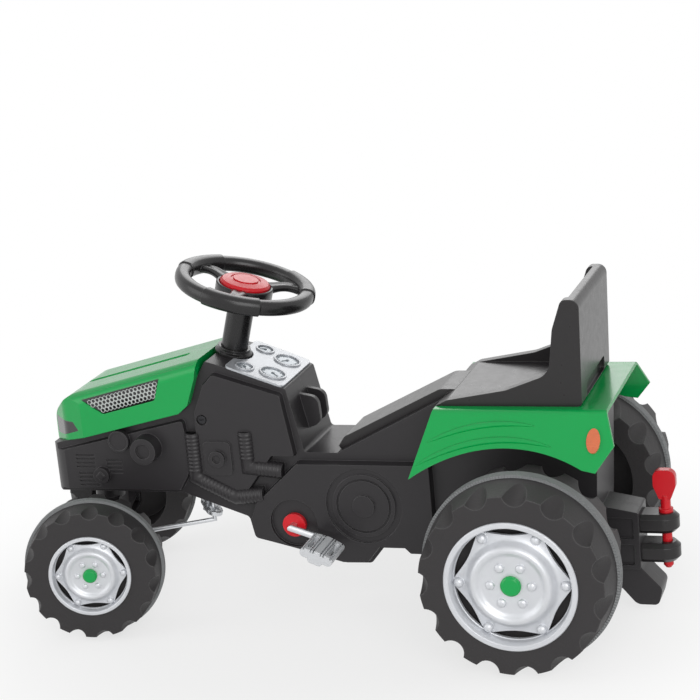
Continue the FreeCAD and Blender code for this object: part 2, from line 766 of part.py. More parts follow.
def grille():
    """Perforated insert: hexagonal holes in staggered rows inside a plain border."""
    body = new_body("grille_left")
    level = size("bonnet_half") - size("trim_depth")
    raise_side(body, 1, outline(GRILLE_OUTLINE), level, "trim_depth")
    slope = math.tan(math.radians(size("bonnet_slope")))
    holes = []
    for row in range(4):
        for column in range(13):
            x = COLUMN_X + 100 + 8.6 * column + 4.3 * (row % 2)
            z = COLUMN_Z - 23.5 - slope * (x - COLUMN_X - 100) - 7.2 * row
            front = COLUMN_X + 204 - 9.5 * row
            if x < front:
                holes += polygon(x, z, 3.2)
    sink_side(body, 1, holes, size("bonnet_half"), "trim_depth")
    mirror(body, "grille_right")


under_bonnet = bonnet_hollow()
bonnet(under_bonnet)
headlamp(under_bonnet)
grille()


# Instrument panel on the console's sloping top

DASH_SLOPE = math.degrees(math.atan2(30.4, 82))
DASH_LENGTH = 89.0
DASH_X = 93.2


def instrument_panel():
    body = new_body("instrument_panel", "column_x - %g" % DASH_X, "0", "column_z - 33.29", tilt(DASH_SLOPE))
    plate = [(0, -63, 8), (DASH_LENGTH, -66, 8), (DASH_LENGTH, 66, 8), (0, 63, 8)]
    pad(body, draw(body, "XY_Plane", outline(plate)), 3)
    column = DASH_X / math.cos(math.radians(DASH_SLOPE))
    pocket(body, draw(body, "XY_Plane", circle(column, 0, size("collar_radius") + 2), 10), 20)
    bezels = []
    for x, y, radius in ((27, 31, 20), (27, -31, 20), (66, 43, 14), (66, -43, 14)):
        bezels += circle(x, y, radius) + circle(x, y, radius - 2.5)
    pad(body, draw(body, "XY_Plane", bezels, 2), 3)


instrument_panel()


# Fender deck, reflectors and seat

DECK_TOP = size("deck_top")
REFLECTOR = (-93.0, 287.0)
REFLECTOR_AXES = (9.0, 17.0)


def flare_y(height):
    """Outer surface of the flared fender side at a height."""
    run = (DECK_TOP - height) / (DECK_TOP - size("flare_bottom"))
    return size("deck_half") + run * (size("flare_half") - size("deck_half"))


def fender_deck():
    """One-piece deck with flared sides, cut to a wheel arch and raked ends."""
    body = new_body("fender_deck")
    wall = size("wall")
    low = size("flare_bottom")
    half = size("deck_half")
    wide = size("flare_half")
    drop = DECK_TOP - wall
    section = [(-wide, low), (-half, DECK_TOP, 12), (half, DECK_TOP, 12), (wide, low),
               (wide - wall * 1.25, low), (half - wall * 0.75, drop, 8), (-half + wall * 0.75, drop, 8),
               (-wide + wall * 1.25, low)]
    front = size("deck_front")
    rear = size("deck_rear")
    sketch = draw(body, "YZ_Plane", outline(section), rear - 30)
    pad(body, sketch, front - rear + 70)
    tip = (front + 27, low + 4)
    heel = (rear + 6, low + 14)
    arch_top = (0.5 * (tip[0] + rear + 20), AXLE_Z + size("rear_radius") + 14)
    arch_end = (rear + 24, low + 17)
    side_view = [
        Part.LineSegment(Vector(rear, DECK_TOP + 9, 0), Vector(front, DECK_TOP + 9, 0)),
        Part.LineSegment(Vector(front, DECK_TOP + 9, 0), Vector(*tip, 0)),
        arc(tip, arch_top, arch_end),
        Part.LineSegment(Vector(*arch_end, 0), Vector(*heel, 0)),
        Part.LineSegment(Vector(*heel, 0), Vector(rear - 16, DECK_TOP - 40, 0)),
        Part.LineSegment(Vector(rear - 16, DECK_TOP - 40, 0), Vector(rear, DECK_TOP + 9, 0)),
    ]
    frame = box(rear - 60, front + 80, low - 20, DECK_TOP + 40) + side_view
    pocket(body, draw(body, "XZ_Plane", frame), FAR, both=True)


def reflector():
    """Oval reflector on the fender's rear corner, lying on the sloping side."""
    spread = size("flare_half") - size("deck_half")
    slope = math.degrees(math.atan2(spread, DECK_TOP - size("flare_bottom")))
    x, z = REFLECTOR
    body = new_body("reflector_left", x, "%g" % flare_y(z), z, Rotation(X_AXIS, slope))
    oval = [Part.Ellipse(Vector(0, 0, 0), REFLECTOR_AXES[1], REFLECTOR_AXES[0])]
    sketch = draw(body, "XZ_Plane", oval, rotation=Rotation(Z_AXIS, 90), at=Vector(0, 0, 0))
    pad(body, sketch, 3, reverse=True)
    mirror(body, "reflector_right")


def seat():
    """Bucket seat with raised side wings, a thin back and a front apron over the tunnel."""
    body = new_body("seat")
    top = size("seat_back_top")
    profile = [(-72, DECK_TOP, 6), (-76, top, 12), (-52, top, 9), (-38, top - 40, 30),
               (-30, DECK_TOP + 44, 26), (30, DECK_TOP + 22, 30), (112, DECK_TOP + 8, 6), (128, DECK_TOP)]
    pad(body, draw(body, "XZ_Plane", outline(profile)), "2 * seat_half", both=True)
    hollow = [(-60, top + 20), (-58, DECK_TOP + 8, 24), (150, DECK_TOP + 8), (150, top + 20)]
    pocket(body, draw(body, "XZ_Plane", outline(hollow)), "2 * (seat_half - seat_side_wall)", both=True)
    grip = box(-62, 62, DECK_TOP + 3, DECK_TOP + 24, 6)
    pocket(body, draw(body, "YZ_Plane", grip, -90), 24, reverse=True)
    apron = [(100, DECK_TOP), (128, DECK_TOP), (132, DECK_FLOOR), (286, TUNNEL_TOP), (290, TUNNEL_TOP + 4, 3),
             (280, TUNNEL_TOP + 18, 9), (136, DECK_TOP + 7, 20), (100, DECK_TOP + 7)]
    pad(body, draw(body, "XZ_Plane", outline(apron)), "2 * apron_half", both=True)


fender_deck()
reflector()
seat()


# Steering: everything on the leaning column shares one frame with the column's axis as local Z

STATION = size("column_reach")
HUB_TOP = STATION + 2
HUB_FLOOR = STATION - 14
HUB_FOOT = STATION - 34
BUTTON_FOOT = HUB_FLOOR + 2 + size("horn_travel")


def column_body(label):
    return new_body(label, "column_x", "0", "column_z", tilt(LEAN) * spin(size("turn_rest")))


def column_collar():
    body = column_body("column_collar")
    bore = size("sleeve_radius") + size("free_clearance")
    rim_radius = size("collar_radius")
    height = size("collar_height")
    section = [(bore, 0), (rim_radius, 0), (rim_radius, 0.4 * height), (bore + 4, 0.6 * height),
               (bore + 4, height), (bore, height)]
    revolve(body, draw(body, "XZ_Plane", outline(section)))


def column_sleeve():
    body = column_body("column_sleeve")
    bore = size("rod_radius") + size("running_clearance")
    revolve(body, draw(body, "XZ_Plane", box(bore, size("sleeve_radius"), -24, HUB_FOOT)))


def rim_section(centre, tube):
    """Eight-sided section of the wheel's rim, with a flat on each side."""
    corner = tube / math.cos(math.pi / 8)
    angles = [math.pi / 8 + k * math.pi / 4 for k in range(8)]
    return outline([(centre + corner * math.cos(a), STATION + corner * math.sin(a)) for a in angles])


def steering_wheel():
    """Three-spoke wheel whose rim swells at each spoke, with a cupped hub for the button."""
    body = column_body("steering_wheel")
    bore = size("rod_radius") + size("running_clearance")
    hub = size("wheel_hub_radius")
    cup = size("horn_radius") + size("free_clearance")
    boss = size("wheel_boss_radius")
    section = [(bore, HUB_FOOT), (boss, HUB_FOOT), (boss + 2, HUB_FLOOR - 9), (hub, HUB_FLOOR - 3),
               (hub, HUB_TOP), (cup, HUB_TOP), (cup, HUB_FLOOR), (bore, HUB_FLOOR)]
    revolve(body, draw(body, "XZ_Plane", outline(section)))
    ring = size("wheel_radius") - size("wheel_tube")
    run = "wheel_radius - wheel_tube - wheel_hub_radius + 3"
    web = [(-14, STATION - 9, 4), (14, STATION - 9, 4), (10, STATION + 6, 4), (-10, STATION + 6, 4)]
    spoke = pad(body, draw(body, "YZ_Plane", outline(web), 3 - hub), run, reverse=True)
    ring_pattern(body, [spoke], 3, "Z_Axis")
    revolve(body, draw(body, "XZ_Plane", rim_section(ring, size("wheel_tube"))))
    swell = revolve(body, draw(body, "XZ_Plane", rim_section(-ring, size("wheel_pad_tube"))), 50)
    swell.Midplane = True
    ring_pattern(body, [swell], 3, "Z_Axis")


def horn_button():
    body = column_body("horn_button")
    radius = size("horn_radius")
    crown = HUB_TOP + 8
    section = [(0, BUTTON_FOOT), (radius, BUTTON_FOOT), (radius, HUB_TOP + 2), (radius - 3, HUB_TOP + 5),
               (0.6 * radius, crown - 1), (0.6 * radius, crown - 2.2), (0.5 * radius, crown - 2.2),
               (0.5 * radius, crown), (0, crown)]
    revolve(body, draw(body, "XZ_Plane", outline(section)))


def horn_spring():
    """Steel strip folded to a Z between the hub floor and the button."""
    body = column_body("horn_spring")
    reach = 12
    strip = 0.6
    foot = HUB_FLOOR
    head = BUTTON_FOOT - size("running_clearance")
    fold = 2 * strip
    lower = [(-reach, foot), (reach, foot), (reach, foot + strip + fold), (4 * strip - reach, head - strip)]
    upper = [(-x, foot + head - z) for x, z in lower]
    leaf = lower[:3] + [lower[3]] + upper[:3] + [upper[3]]
    pad(body, draw(body, "XZ_Plane", outline(leaf)), 8, both=True)


def steering_rod():
    """Column rod with a slotted pitman arm near its foot."""
    body = column_body("steering_rod")
    drop = size("pitman_drop")
    arm = size("pitman_arm")
    foot = -drop - 14
    pad(body, draw(body, "XY_Plane", circle(0, 0, size("rod_radius")), foot), HUB_FLOOR - 1 - foot)
    plate = [(-11, -11, 10.5), (11, -11, 10.5), (12, arm + 17, 11.5), (-12, arm + 17, 11.5)]
    pad(body, draw(body, "XY_Plane", outline(plate), -drop - 3), 6)
    half = 0.5 * size("pitman_slot_width")
    slot = box(-half, half, arm - 8, arm + 10, half - 0.1)
    pocket(body, draw(body, "XY_Plane", slot, -drop + 4), 8)


column_collar()
column_sleeve()
steering_wheel()
horn_button()
horn_spring()
steering_rod()


# Front axle: turns on a pin below the engine, local Y runs along the steered axle


def front_reach():
    return "front_track + front_tyre_half + lip_stand - front_dish + floor_share * front_dome_height - 1"


def axle_body(label):
    return new_body(label, "wheelbase", "0", "0", spin(size("steer_rest")))


def axle_carrier():
    """Beam with a raised middle, pivot boss, lightening pockets and the drag link's ear."""
    body = axle_body("axle_carrier")
    level = size("front_radius")
    half = size("front_track") - size("front_tyre_half") + 9.5
    low = level - 12
    high = level + 12
    beam = [(-half, low, 3), (half, low, 3), (half, high, 3), (44, high, 8), (34, high + 38, 10),
            (-34, high + 38, 10),
            (-44, high, 8), (-half, high, 3)]
    pad(body, draw(body, "YZ_Plane", outline(beam)), 34, both=True)
    pad(body, draw(body, "XY_Plane", circle(0, 0, 22), high + 36), "boss_top - front_radius - 48")
    panels = []
    for low_y, high_y in ((-half + 12, -50), (50, half - 12)):
        panels += box(low_y, high_y, low + 4, high - 4, 4)
    for face, reverse in ((18, False), (-18, True)):
        pocket(body, draw(body, "YZ_Plane", panels, face), 10, reverse=reverse)
    arm = size("axle_arm")
    back = -size("axle_ear_back")
    ear = [(14, arm - 14, 4), (14, arm + 14, 4), (back - 9, arm + 9, 8.9), (back - 9, arm - 9, 8.9)]
    pad(body, draw(body, "XY_Plane", outline(ear), high - 0.5), 8)
    hole = circle(back, arm, size("link_radius") + size("running_clearance"))
    pocket(body, draw(body, "XY_Plane", hole, high + 20), 40)
    bore = circle(0, 0, size("pivot_radius") + size("running_clearance"))
    pocket(body, draw(body, "XY_Plane", bore, size("boss_top")), "boss_top - front_radius - 10")
    shaft = circle(0, level, size("front_axle_radius") + size("running_clearance"))
    pocket(body, draw(body, "XZ_Plane", shaft), 4 * half, both=True)


def front_axle_rod():
    body = axle_body("front_axle_rod")
    shaft = circle(0, size("front_radius"), size("front_axle_radius"))
    pad(body, draw(body, "XZ_Plane", shaft), "2 * (%s)" % front_reach(), both=True)


def pivot_pin():
    body = new_body("pivot_pin", "wheelbase")
    foot = size("front_radius") + 12
    pin = draw(body, "XY_Plane", circle(0, 0, size("pivot_radius")), foot)
    pad(body, pin, "engine_floor + 38 - front_radius - 12")


def thrust_washer():
    body = new_body("thrust_washer", "wheelbase")
    ring = circle(0, 0, 20) + circle(0, 0, size("pivot_radius") + size("running_clearance"))
    base = size("boss_top") + size("running_clearance")
    pad(body, draw(body, "XY_Plane", ring, base), "engine_floor - boss_top - running_clearance")


def drag_link():
    """Bent rod from the pitman slot to the axle's ear; both ends turn upwards."""
    turn = math.radians(size("turn_rest"))
    slope = math.radians(LEAN)
    drop = size("pitman_drop")
    across = -size("pitman_arm") * math.sin(turn)
    rear_x = COLUMN_X + drop * math.sin(slope) + across * math.cos(slope)
    rear_y = size("pitman_arm") * math.cos(turn)
    steer = math.radians(size("steer_rest"))
    back = size("axle_ear_back")
    arm = size("axle_arm")
    ear_x = WHEELBASE - back * math.cos(steer) - arm * math.sin(steer)
    ear_y = arm * math.cos(steer) - back * math.sin(steer)
    heading = math.degrees(math.atan2(rear_y - ear_y, rear_x - ear_x))
    length = math.hypot(rear_x - ear_x, rear_y - ear_y)
    radius = size("link_radius")
    body = new_body("drag_link", "%g" % ear_x, "%g" % ear_y, "0", spin(heading))
    low = size("link_height") - 13
    spine = route([(0, low + 21), (0, low), (length, low + 16), (length, low + 52)])
    start = draw(body, "XY_Plane", circle(0, 0, radius), low + 21)
    pipe(body, start, draw(body, "XZ_Plane", spine))


axle_carrier()
front_axle_rod()
pivot_pin()
thrust_washer()
drag_link()


# Drive: crank, chain and rear axle

LINKS = size("chain_links")
AXLE_TEETH = size("axle_teeth")
CRANK_TEETH = size("crank_teeth")
SPAN = math.hypot(CRANK_X, CRANK_Z - AXLE_Z)
RISE = math.atan2(CRANK_Z - AXLE_Z, CRANK_X)


def chain_layout():
    """Pitch, pitch radii and dip angle of a chain that closes on both sprockets."""
    pitch = 2 * SPAN / (LINKS - 0.5 * (AXLE_TEETH + CRANK_TEETH))
    for _ in range(20):
        small = pitch / (2 * math.sin(math.pi / AXLE_TEETH))
        large = pitch / (2 * math.sin(math.pi / CRANK_TEETH))
        dip = math.asin((large - small) / SPAN)
        wrapped = AXLE_TEETH * (0.5 - dip / math.pi) + CRANK_TEETH * (0.5 + dip / math.pi)
        pitch = 2 * SPAN * math.cos(dip) / (LINKS - wrapped)
    return pitch, small, large, dip


PITCH, SMALL_PITCH_RADIUS, LARGE_PITCH_RADIUS, DIP = chain_layout()


def polar(centre, radius, angle):
    return (centre[0] + radius * math.cos(angle), centre[1] + radius * math.sin(angle))


AXLE_CENTRE = (0, AXLE_Z)
CRANK_CENTRE = (CRANK_X, CRANK_Z)
UPPER = RISE + math.pi / 2 + DIP
LOWER = RISE - math.pi / 2 - DIP


def racetrack(offset):
    """Closed path round both sprockets at a distance from the chain's own line."""
    small = SMALL_PITCH_RADIUS + offset
    large = LARGE_PITCH_RADIUS + offset
    ends = [polar(AXLE_CENTRE, small, UPPER), polar(AXLE_CENTRE, small, LOWER),
            polar(CRANK_CENTRE, large, LOWER), polar(CRANK_CENTRE, large, UPPER)]
    return [
        arc(ends[0], polar(AXLE_CENTRE, small, RISE + math.pi), ends[1]),
        Part.LineSegment(Vector(*ends[1], 0), Vector(*ends[2], 0)),
        arc(ends[2], polar(CRANK_CENTRE, large, RISE), ends[3]),
        Part.LineSegment(Vector(*ends[3], 0), Vector(*ends[0], 0)),
    ]


def roller_spots():
    """Roller centres walked link by link round the path, with the first angle on each sprocket."""
    rear_links = AXLE_TEETH * (0.5 - DIP / math.pi)
    front_links = CRANK_TEETH * (0.5 + DIP / math.pi)
    straight = SPAN * math.cos(DIP) / PITCH
    spots = []
    for link in range(int(LINKS)):
        place = link + 0.5
        if place < rear_links:
            spots.append(polar(AXLE_CENTRE, SMALL_PITCH_RADIUS, UPPER + 2 * math.pi * place / AXLE_TEETH))
            continue
        place -= rear_links
        if place < straight:
            base = polar(AXLE_CENTRE, SMALL_PITCH_RADIUS, LOWER)
            spots.append(polar(base, place * PITCH, LOWER + math.pi / 2))
            continue
        place -= straight
        if place < front_links:
            spots.append(polar(CRANK_CENTRE, LARGE_PITCH_RADIUS, LOWER + 2 * math.pi * place / CRANK_TEETH))
            continue
        place -= front_links
        base = polar(CRANK_CENTRE, LARGE_PITCH_RADIUS, UPPER)
        spots.append(polar(base, place * PITCH, UPPER + math.pi / 2))
    rear_phase = UPPER + math.pi / AXLE_TEETH
    first = math.ceil(rear_links + straight - 0.5) + 0.5 - rear_links - straight
    front_phase = LOWER + 2 * math.pi * first / CRANK_TEETH
    return spots, rear_phase, front_phase


ROLLERS, REAR_PHASE, FRONT_PHASE = roller_spots()


def drive_chain():
    """Rollers held between two side bands."""
    body = new_body("drive_chain", "0", "chain_plane", "0")
    gap = 0.5 * size("sprocket_width") + 0.7
    plate = 1.2
    bands = racetrack(3.4) + racetrack(-3.4)
    pad(body, draw(body, "XZ_Plane", bands, gap), plate)
    pins = []
    for x, z in ROLLERS:
        pins += polygon(x, z, size("roller_radius"), 4)
    pad(body, draw(body, "XZ_Plane", pins, gap), 2 * gap, reverse=True)
    pad(body, draw(body, "XZ_Plane", bands, -gap), plate, reverse=True)


def sprocket(body, pitch_radius, bore, phase, count):
    """Toothed disc with a hub; the tips stop just under the rollers, so the chain clears them as they turn."""
    tip = pitch_radius - size("roller_radius") - size("free_clearance")
    root = tip - size("tooth_height")
    step = 2 * math.pi / count
    profile = []
    for tooth in range(int(count)):
        gap = phase + (tooth + 0.5) * step
        for radius, share in ((tip, -0.3), (root, -0.18), (root, 0.18), (tip, 0.3)):
            profile.append(polar((0, 0), radius, gap + share * step))
    pad(body, draw(body, "XZ_Plane", outline(profile)), "sprocket_width", both=True)
    pad(body, draw(body, "XZ_Plane", circle(0, 0, bore + 4)), 16, both=True)
    pocket(body, draw(body, "XZ_Plane", circle(0, 0, bore)), 40, both=True)


def rear_axle():
    body = new_body("rear_axle", "0", "0", "rear_radius")
    reach = "rear_track + rear_tyre_half + lip_stand - rear_dish + floor_share * rear_dome_height - 1"
    pad(body, draw(body, "XZ_Plane", circle(0, 0, size("rear_axle_radius"))), "2 * (%s)" % reach, both=True)


def axle_sleeve():
    """Flanged spacer tube pushed into the body side; the axle turns inside it."""
    body = new_body("axle_sleeve_left", "0", "0", "rear_radius")
    bore = size("rear_axle_radius") + size("running_clearance")
    spigot = size("rear_axle_radius") + 5 - size("running_clearance")
    side = size("core_half")
    end = size("rear_track") - size("rear_tyre_half") + 9.5
    section = [(bore, side - 12), (spigot, side - 12), (spigot, side), (spigot + 6, side),
               (spigot + 6, side + 5), (spigot - 1, side + 5), (spigot - 1, end), (bore, end)]
    revolve(body, draw(body, "XY_Plane", outline(section)))
    mirror(body, "axle_sleeve_right")


def crankshaft():
    """One bent rod with a throw each side, a half turn apart."""
    body = new_body("crankshaft", "crank_x", "0", "crank_z", tilt(size("crank_droop")))
    throw = size("crank_throw")
    plane = size("crank_arm_plane")
    end = size("pedal_outer") - 3
    radius = size("crank_rod_radius")
    spine = route([(-throw, end), (-throw, plane), (0, plane), (0, -plane), (throw, -plane), (throw, -end)])
    start = draw(body, "XZ_Plane", circle(-throw, 0, radius), -end)
    pipe(body, start, draw(body, "XY_Plane", spine))


def crank_cap():
    """Round bearing cap in the body's recess with a spigot through the wall and one screw."""
    body = new_body("crank_cap_left", "crank_x", "0", "crank_z")
    bore = size("crank_rod_radius") + size("running_clearance")
    radius = size("crank_cap_radius")
    spigot = radius - 6 - size("running_clearance")
    seat_level = size("chassis_half") - 6
    section = [(bore, seat_level - 12), (spigot, seat_level - 12), (spigot, seat_level), (radius, seat_level),
               (radius, seat_level + 7), (bore, seat_level + 7)]
    revolve(body, draw(body, "XY_Plane", outline(section)))
    pad(body, draw(body, "XZ_Plane", circle(0, 11, 3), -seat_level - 4), 3, reverse=True)
    mirror(body, "crank_cap_right")


def pedal(side):
    """Ribbed tread block with two drain slots and a blind bore for the spindle."""
    label = "pedal_left" if side > 0 else "pedal_right"
    body = new_body(label, "crank_x - %d * crank_throw * cos(crank_droop)" % side, "0",
                    "crank_z - %d * crank_throw * sin(crank_droop)" % side, tilt(size("pedal_tilt")))
    half = 0.5 * size("pedal_length")
    thick = 0.5 * size("pedal_thickness")
    inner = size("pedal_inner")
    outer = size("pedal_outer")
    block = [(-half, -0.5 * thick, 6), (half, -0.5 * thick, 6), (half, 0.7 * thick, 5), (0, thick, 40),
             (-half, 0.7 * thick, 5)]
    hub = [(-11, -thick, 5), (11, -thick, 5), (11, 0, 0), (-11, 0, 0)]
    raise_side(body, side, outline(block), inner, "pedal_outer - pedal_inner")
    raise_side(body, side, outline(hub), inner, "pedal_outer - pedal_inner")
    low = min(side * (inner + 8), side * (outer - 8))
    high = max(side * (inner + 8), side * (outer - 8))
    slots = []
    for x in (-15, 15):
        slots += box(x - 3, x + 3, low, high, 2.5)
    pocket(body, draw(body, "XY_Plane", slots, 2 * thick), 4 * thick)
    ribs = []
    for x in (-20, -9.5, -5.5, 5.5, 9.5, 20):
        ribs += box(x - 1, x + 1, 0.5 * thick, 2 * thick)
    pocket(body, side_draw(body, side, ribs, inner - 1), size("pedal_outer"), reverse=side < 0)
    bore = circle(0, 0, size("crank_rod_radius") + size("running_clearance"))
    pocket(body, side_draw(body, side, bore, inner - 1), "pedal_outer - pedal_inner - 1", reverse=side < 0)


drive_chain()
rear_gear = new_body("rear_sprocket", "0", "chain_plane", "rear_radius")
axle_bore = size("rear_axle_radius") + size("running_clearance")
sprocket(rear_gear, SMALL_PITCH_RADIUS, axle_bore, REAR_PHASE, AXLE_TEETH)
crank_gear = new_body("crank_sprocket", "crank_x", "chain_plane", "crank_z")
crank_bore = size("crank_rod_radius") + size("running_clearance")
sprocket(crank_gear, LARGE_PITCH_RADIUS, crank_bore, FRONT_PHASE, CRANK_TEETH)
rear_axle()
axle_sleeve()
crankshaft()
crank_cap()
pedal(1)
pedal(-1)


# Hitch and fasteners


def hitch_loop(label, level):
    """Rounded loop moulding behind the hitch block with an eye for the tow pin."""
    body = new_body(label)
    half = size("loop_half")
    low = size(level) - 0.5 * size("loop_height")
    tip = size("tow_pin_x") - 18
    shape = [(HITCH_REAR, -half), (HITCH_REAR, half), (tip, half, half - 0.1), (tip, -half, half - 0.1)]
    block = pad(body, draw(body, "XY_Plane", outline(shape), low), "loop_height")
    bevel_edges(body, block, lambda edge: edge.BoundBox.ZLength < 0.1 and edge.BoundBox.XLength > 0.1, 6)
    eye = circle(size("tow_pin_x"), 0, size("tow_pin_radius") + size("free_clearance"))
    pocket(body, draw(body, "XY_Plane", eye, low + 40), 80)


def tow_pin():
    """Drop-in pin with a collar and a flat paddle to pull it by."""
    body = new_body("tow_pin", "tow_pin_x")
    radius = size("tow_pin_radius")
    rest = size("loop_upper") + 0.5 * size("loop_height") + size("running_clearance")
    foot = size("loop_lower") - 0.5 * size("loop_height") - 12
    section = [(0, foot), (radius - 3, foot), (radius, foot + 4), (radius, rest), (radius + 3, rest),
               (radius + 3, rest + 5), (radius, rest + 6), (radius, rest + 24), (0, rest + 24)]
    revolve(body, draw(body, "XZ_Plane", outline(section)))
    paddle = [(-8, rest + 19, 3), (8, rest + 19, 3), (15.5, rest + 38, 8), (15.5, rest + 61, 11),
              (-15.5, rest + 61, 11), (-15.5, rest + 38, 8)]
    pad(body, draw(body, "XZ_Plane", outline(paddle)), 12, both=True)


def case_screws():
    """Pan-head screws that close the two body halves."""
    body = new_body("case_screws")
    level = size("console_half") - 4
    for side in (1, -1):
        raise_side(body, side, circle(COLUMN_X + 30, COLUMN_Z - 78, 6), level, 3)
        slot = box(COLUMN_X + 26, COLUMN_X + 34, COLUMN_Z - 79, COLUMN_Z - 77)
        sink_side(body, side, slot, level + 3, 1.2)


hitch_loop("hitch_loop_upper", "loop_upper")
hitch_loop("hitch_loop_lower", "loop_lower")
tow_pin()
case_screws()


doc.recompute()
failed = [item.Label for item in doc.Objects if {"Invalid", "Error"} & set(item.State)]
failed += [item.Label for item in parts if item.Shape.isNull() or not item.Shape.isValid()]
if failed:
    raise RuntimeError("failed: " + ", ".join(failed))
os.makedirs("parts", exist_ok=True)
for item in parts:
    item.Shape.exportStep("parts/%s.step" % item.Label)
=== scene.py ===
"""Looks of a child's ride-on pedal tractor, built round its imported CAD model."""
import json
import math

import bmesh
import bpy
from mathutils import Matrix, Vector


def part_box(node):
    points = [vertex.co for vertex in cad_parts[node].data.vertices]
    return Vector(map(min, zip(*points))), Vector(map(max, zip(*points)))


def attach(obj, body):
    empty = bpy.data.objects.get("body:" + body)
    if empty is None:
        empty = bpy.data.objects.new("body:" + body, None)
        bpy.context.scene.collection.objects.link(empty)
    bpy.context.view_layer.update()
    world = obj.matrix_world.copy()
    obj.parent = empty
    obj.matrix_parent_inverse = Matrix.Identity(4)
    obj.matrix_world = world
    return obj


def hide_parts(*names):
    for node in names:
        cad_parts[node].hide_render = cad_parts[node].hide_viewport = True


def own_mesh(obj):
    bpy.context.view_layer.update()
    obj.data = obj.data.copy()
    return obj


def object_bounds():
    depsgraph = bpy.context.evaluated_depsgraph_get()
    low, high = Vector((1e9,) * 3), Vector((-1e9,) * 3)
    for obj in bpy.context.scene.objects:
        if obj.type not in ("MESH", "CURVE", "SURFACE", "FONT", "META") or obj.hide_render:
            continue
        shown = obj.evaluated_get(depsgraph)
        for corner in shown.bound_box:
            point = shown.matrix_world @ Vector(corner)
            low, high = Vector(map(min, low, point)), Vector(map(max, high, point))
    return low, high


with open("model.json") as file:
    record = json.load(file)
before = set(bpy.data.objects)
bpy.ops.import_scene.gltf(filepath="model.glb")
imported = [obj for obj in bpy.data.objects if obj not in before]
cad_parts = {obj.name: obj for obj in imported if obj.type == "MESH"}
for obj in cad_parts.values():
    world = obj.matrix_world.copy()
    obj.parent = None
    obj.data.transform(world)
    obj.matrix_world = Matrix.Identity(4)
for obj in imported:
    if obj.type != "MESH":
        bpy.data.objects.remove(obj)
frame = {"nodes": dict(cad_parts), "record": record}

bl_info = {
    "name": "Pedal tractor looks",
    "version": (1, 0, 0),
    "blender": (4, 5, 0),
    "location": "View3D > Sidebar > Tractor",
    "description": "Finishes, dials and studio stage for a ride-on pedal tractor",
    "category": "Object",
}

CAD_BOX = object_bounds()
NODES = frame["nodes"]
SLOT_OF = {row["node"]: row["material_slot"] for row in frame["record"]["subparts"]}
SIDES = ((1, "left"), (-1, "right"))
MM = 0.001
CREASE = math.radians(40)
NEAR_AXIS = 0.05

# Row frame: the lengths below are millimetres ahead of the rear axle, to its left and above the ground
AXLE_LOW, AXLE_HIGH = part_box("rear_axle")
ORIGIN = Vector(((AXLE_LOW.x + AXLE_HIGH.x) / 2, 0.0, 0.0))
REAR_WHEEL = (0.0, 200.0, 132.0)
FRONT_WHEEL = (672.0, 165.0, 100.0)
STEER_REST = math.radians(14.1)

# Steering wheel: stations count up the leaning column from its foot, and the hub's heights from the wheel
COLUMN_LEAN = math.radians(16.0)
COLUMN_TURN = math.radians(38.0)
COLUMN_FOOT = (451.0, 0.0, 367.5)
WHEEL_STATION = 104.0
WHEEL_RADIUS = 89.0
WHEEL_TUBE = 10.6
TUBE_SQUARENESS = 2.6
GRIP_TUBE = 12.3
GRIP_MIDDLES = (60, 180, 300)
GRIP_HALF = 25.0
GRIP_STEP = 0.4
SPOKE_START = 37.0
SPOKE_LENGTH = 45.0
SPOKE_WAIST = (10.0, 5.6)
SPOKE_FLARE = (4.0, 1.2)
SPOKE_DROP = 3.0
SPOKE_ARCH = 3.2
SPOKE_STEPS = 14
GROOVE_HALF = 5.5
GROOVE_DEPTH = 1.6
HUB_BORE = 6.2
HUB_FLOOR = -14.0
HUB_PROFILE = ((HUB_BORE, -34), (25.5, -34), (27, -32.5), (28.6, -24), (33, -20), (39.4, -17.6), (41, -15),
               (41, 0.6), (39.6, 2), (37.6, 2), (36.5, 0.8), (36.5, HUB_FLOOR), (HUB_BORE, HUB_FLOOR))

# Wheel rims: sections of a rear rim as radius and height out along the axle from the wheel's middle
RIM_FACE = {"rear": 65.0, "front": 43.0}
FRONT_ACROSS = 58.5 / 88
FRONT_ALONG = 0.625
RIM_STEPS = 180
DISC_FRONT = 49.0
DISC_BACK = 44.0
WINDOW_PITCH = 60.0
WINDOW_HALF = 26.0
WINDOW_REACH = 77.0
WINDOW_DEPTH = 11.5
WINDOW_END = 0.8
RIM_LIP = ((88, 34), (88, 63.8), (86.8, 65), (81.2, 65), (80, 63.8), (78.8, 52), (78, 49.6),
           (WINDOW_REACH, DISC_FRONT))
RIM_DISC = ((62, 49.6), (58.5, 52.6), (55, 58), (52, 61.8), (49.5, 63), (46.5, 62.6), (43.5, 60), (41, 57.8),
            (38, 57), (8.2, 57), (8.2, DISC_BACK), (60, DISC_BACK))
RIM_BACK = ((WINDOW_REACH, DISC_BACK), (79.5, DISC_BACK), (82, 34))
STUD_REACH = 70.5
STUD_PROFILE = ((NEAR_AXIS, 47), (6.6, 47), (6.6, 53), (5.4, 55.4), (2.8, 56.8), (NEAR_AXIS, 57.2))
BOLT_REACH = 27.3
BOLT_PROFILE = ((NEAR_AXIS, 56), (6.0, 56), (6.0, 59.4), (4.8, 61), (2.4, 61.8), (NEAR_AXIS, 62))

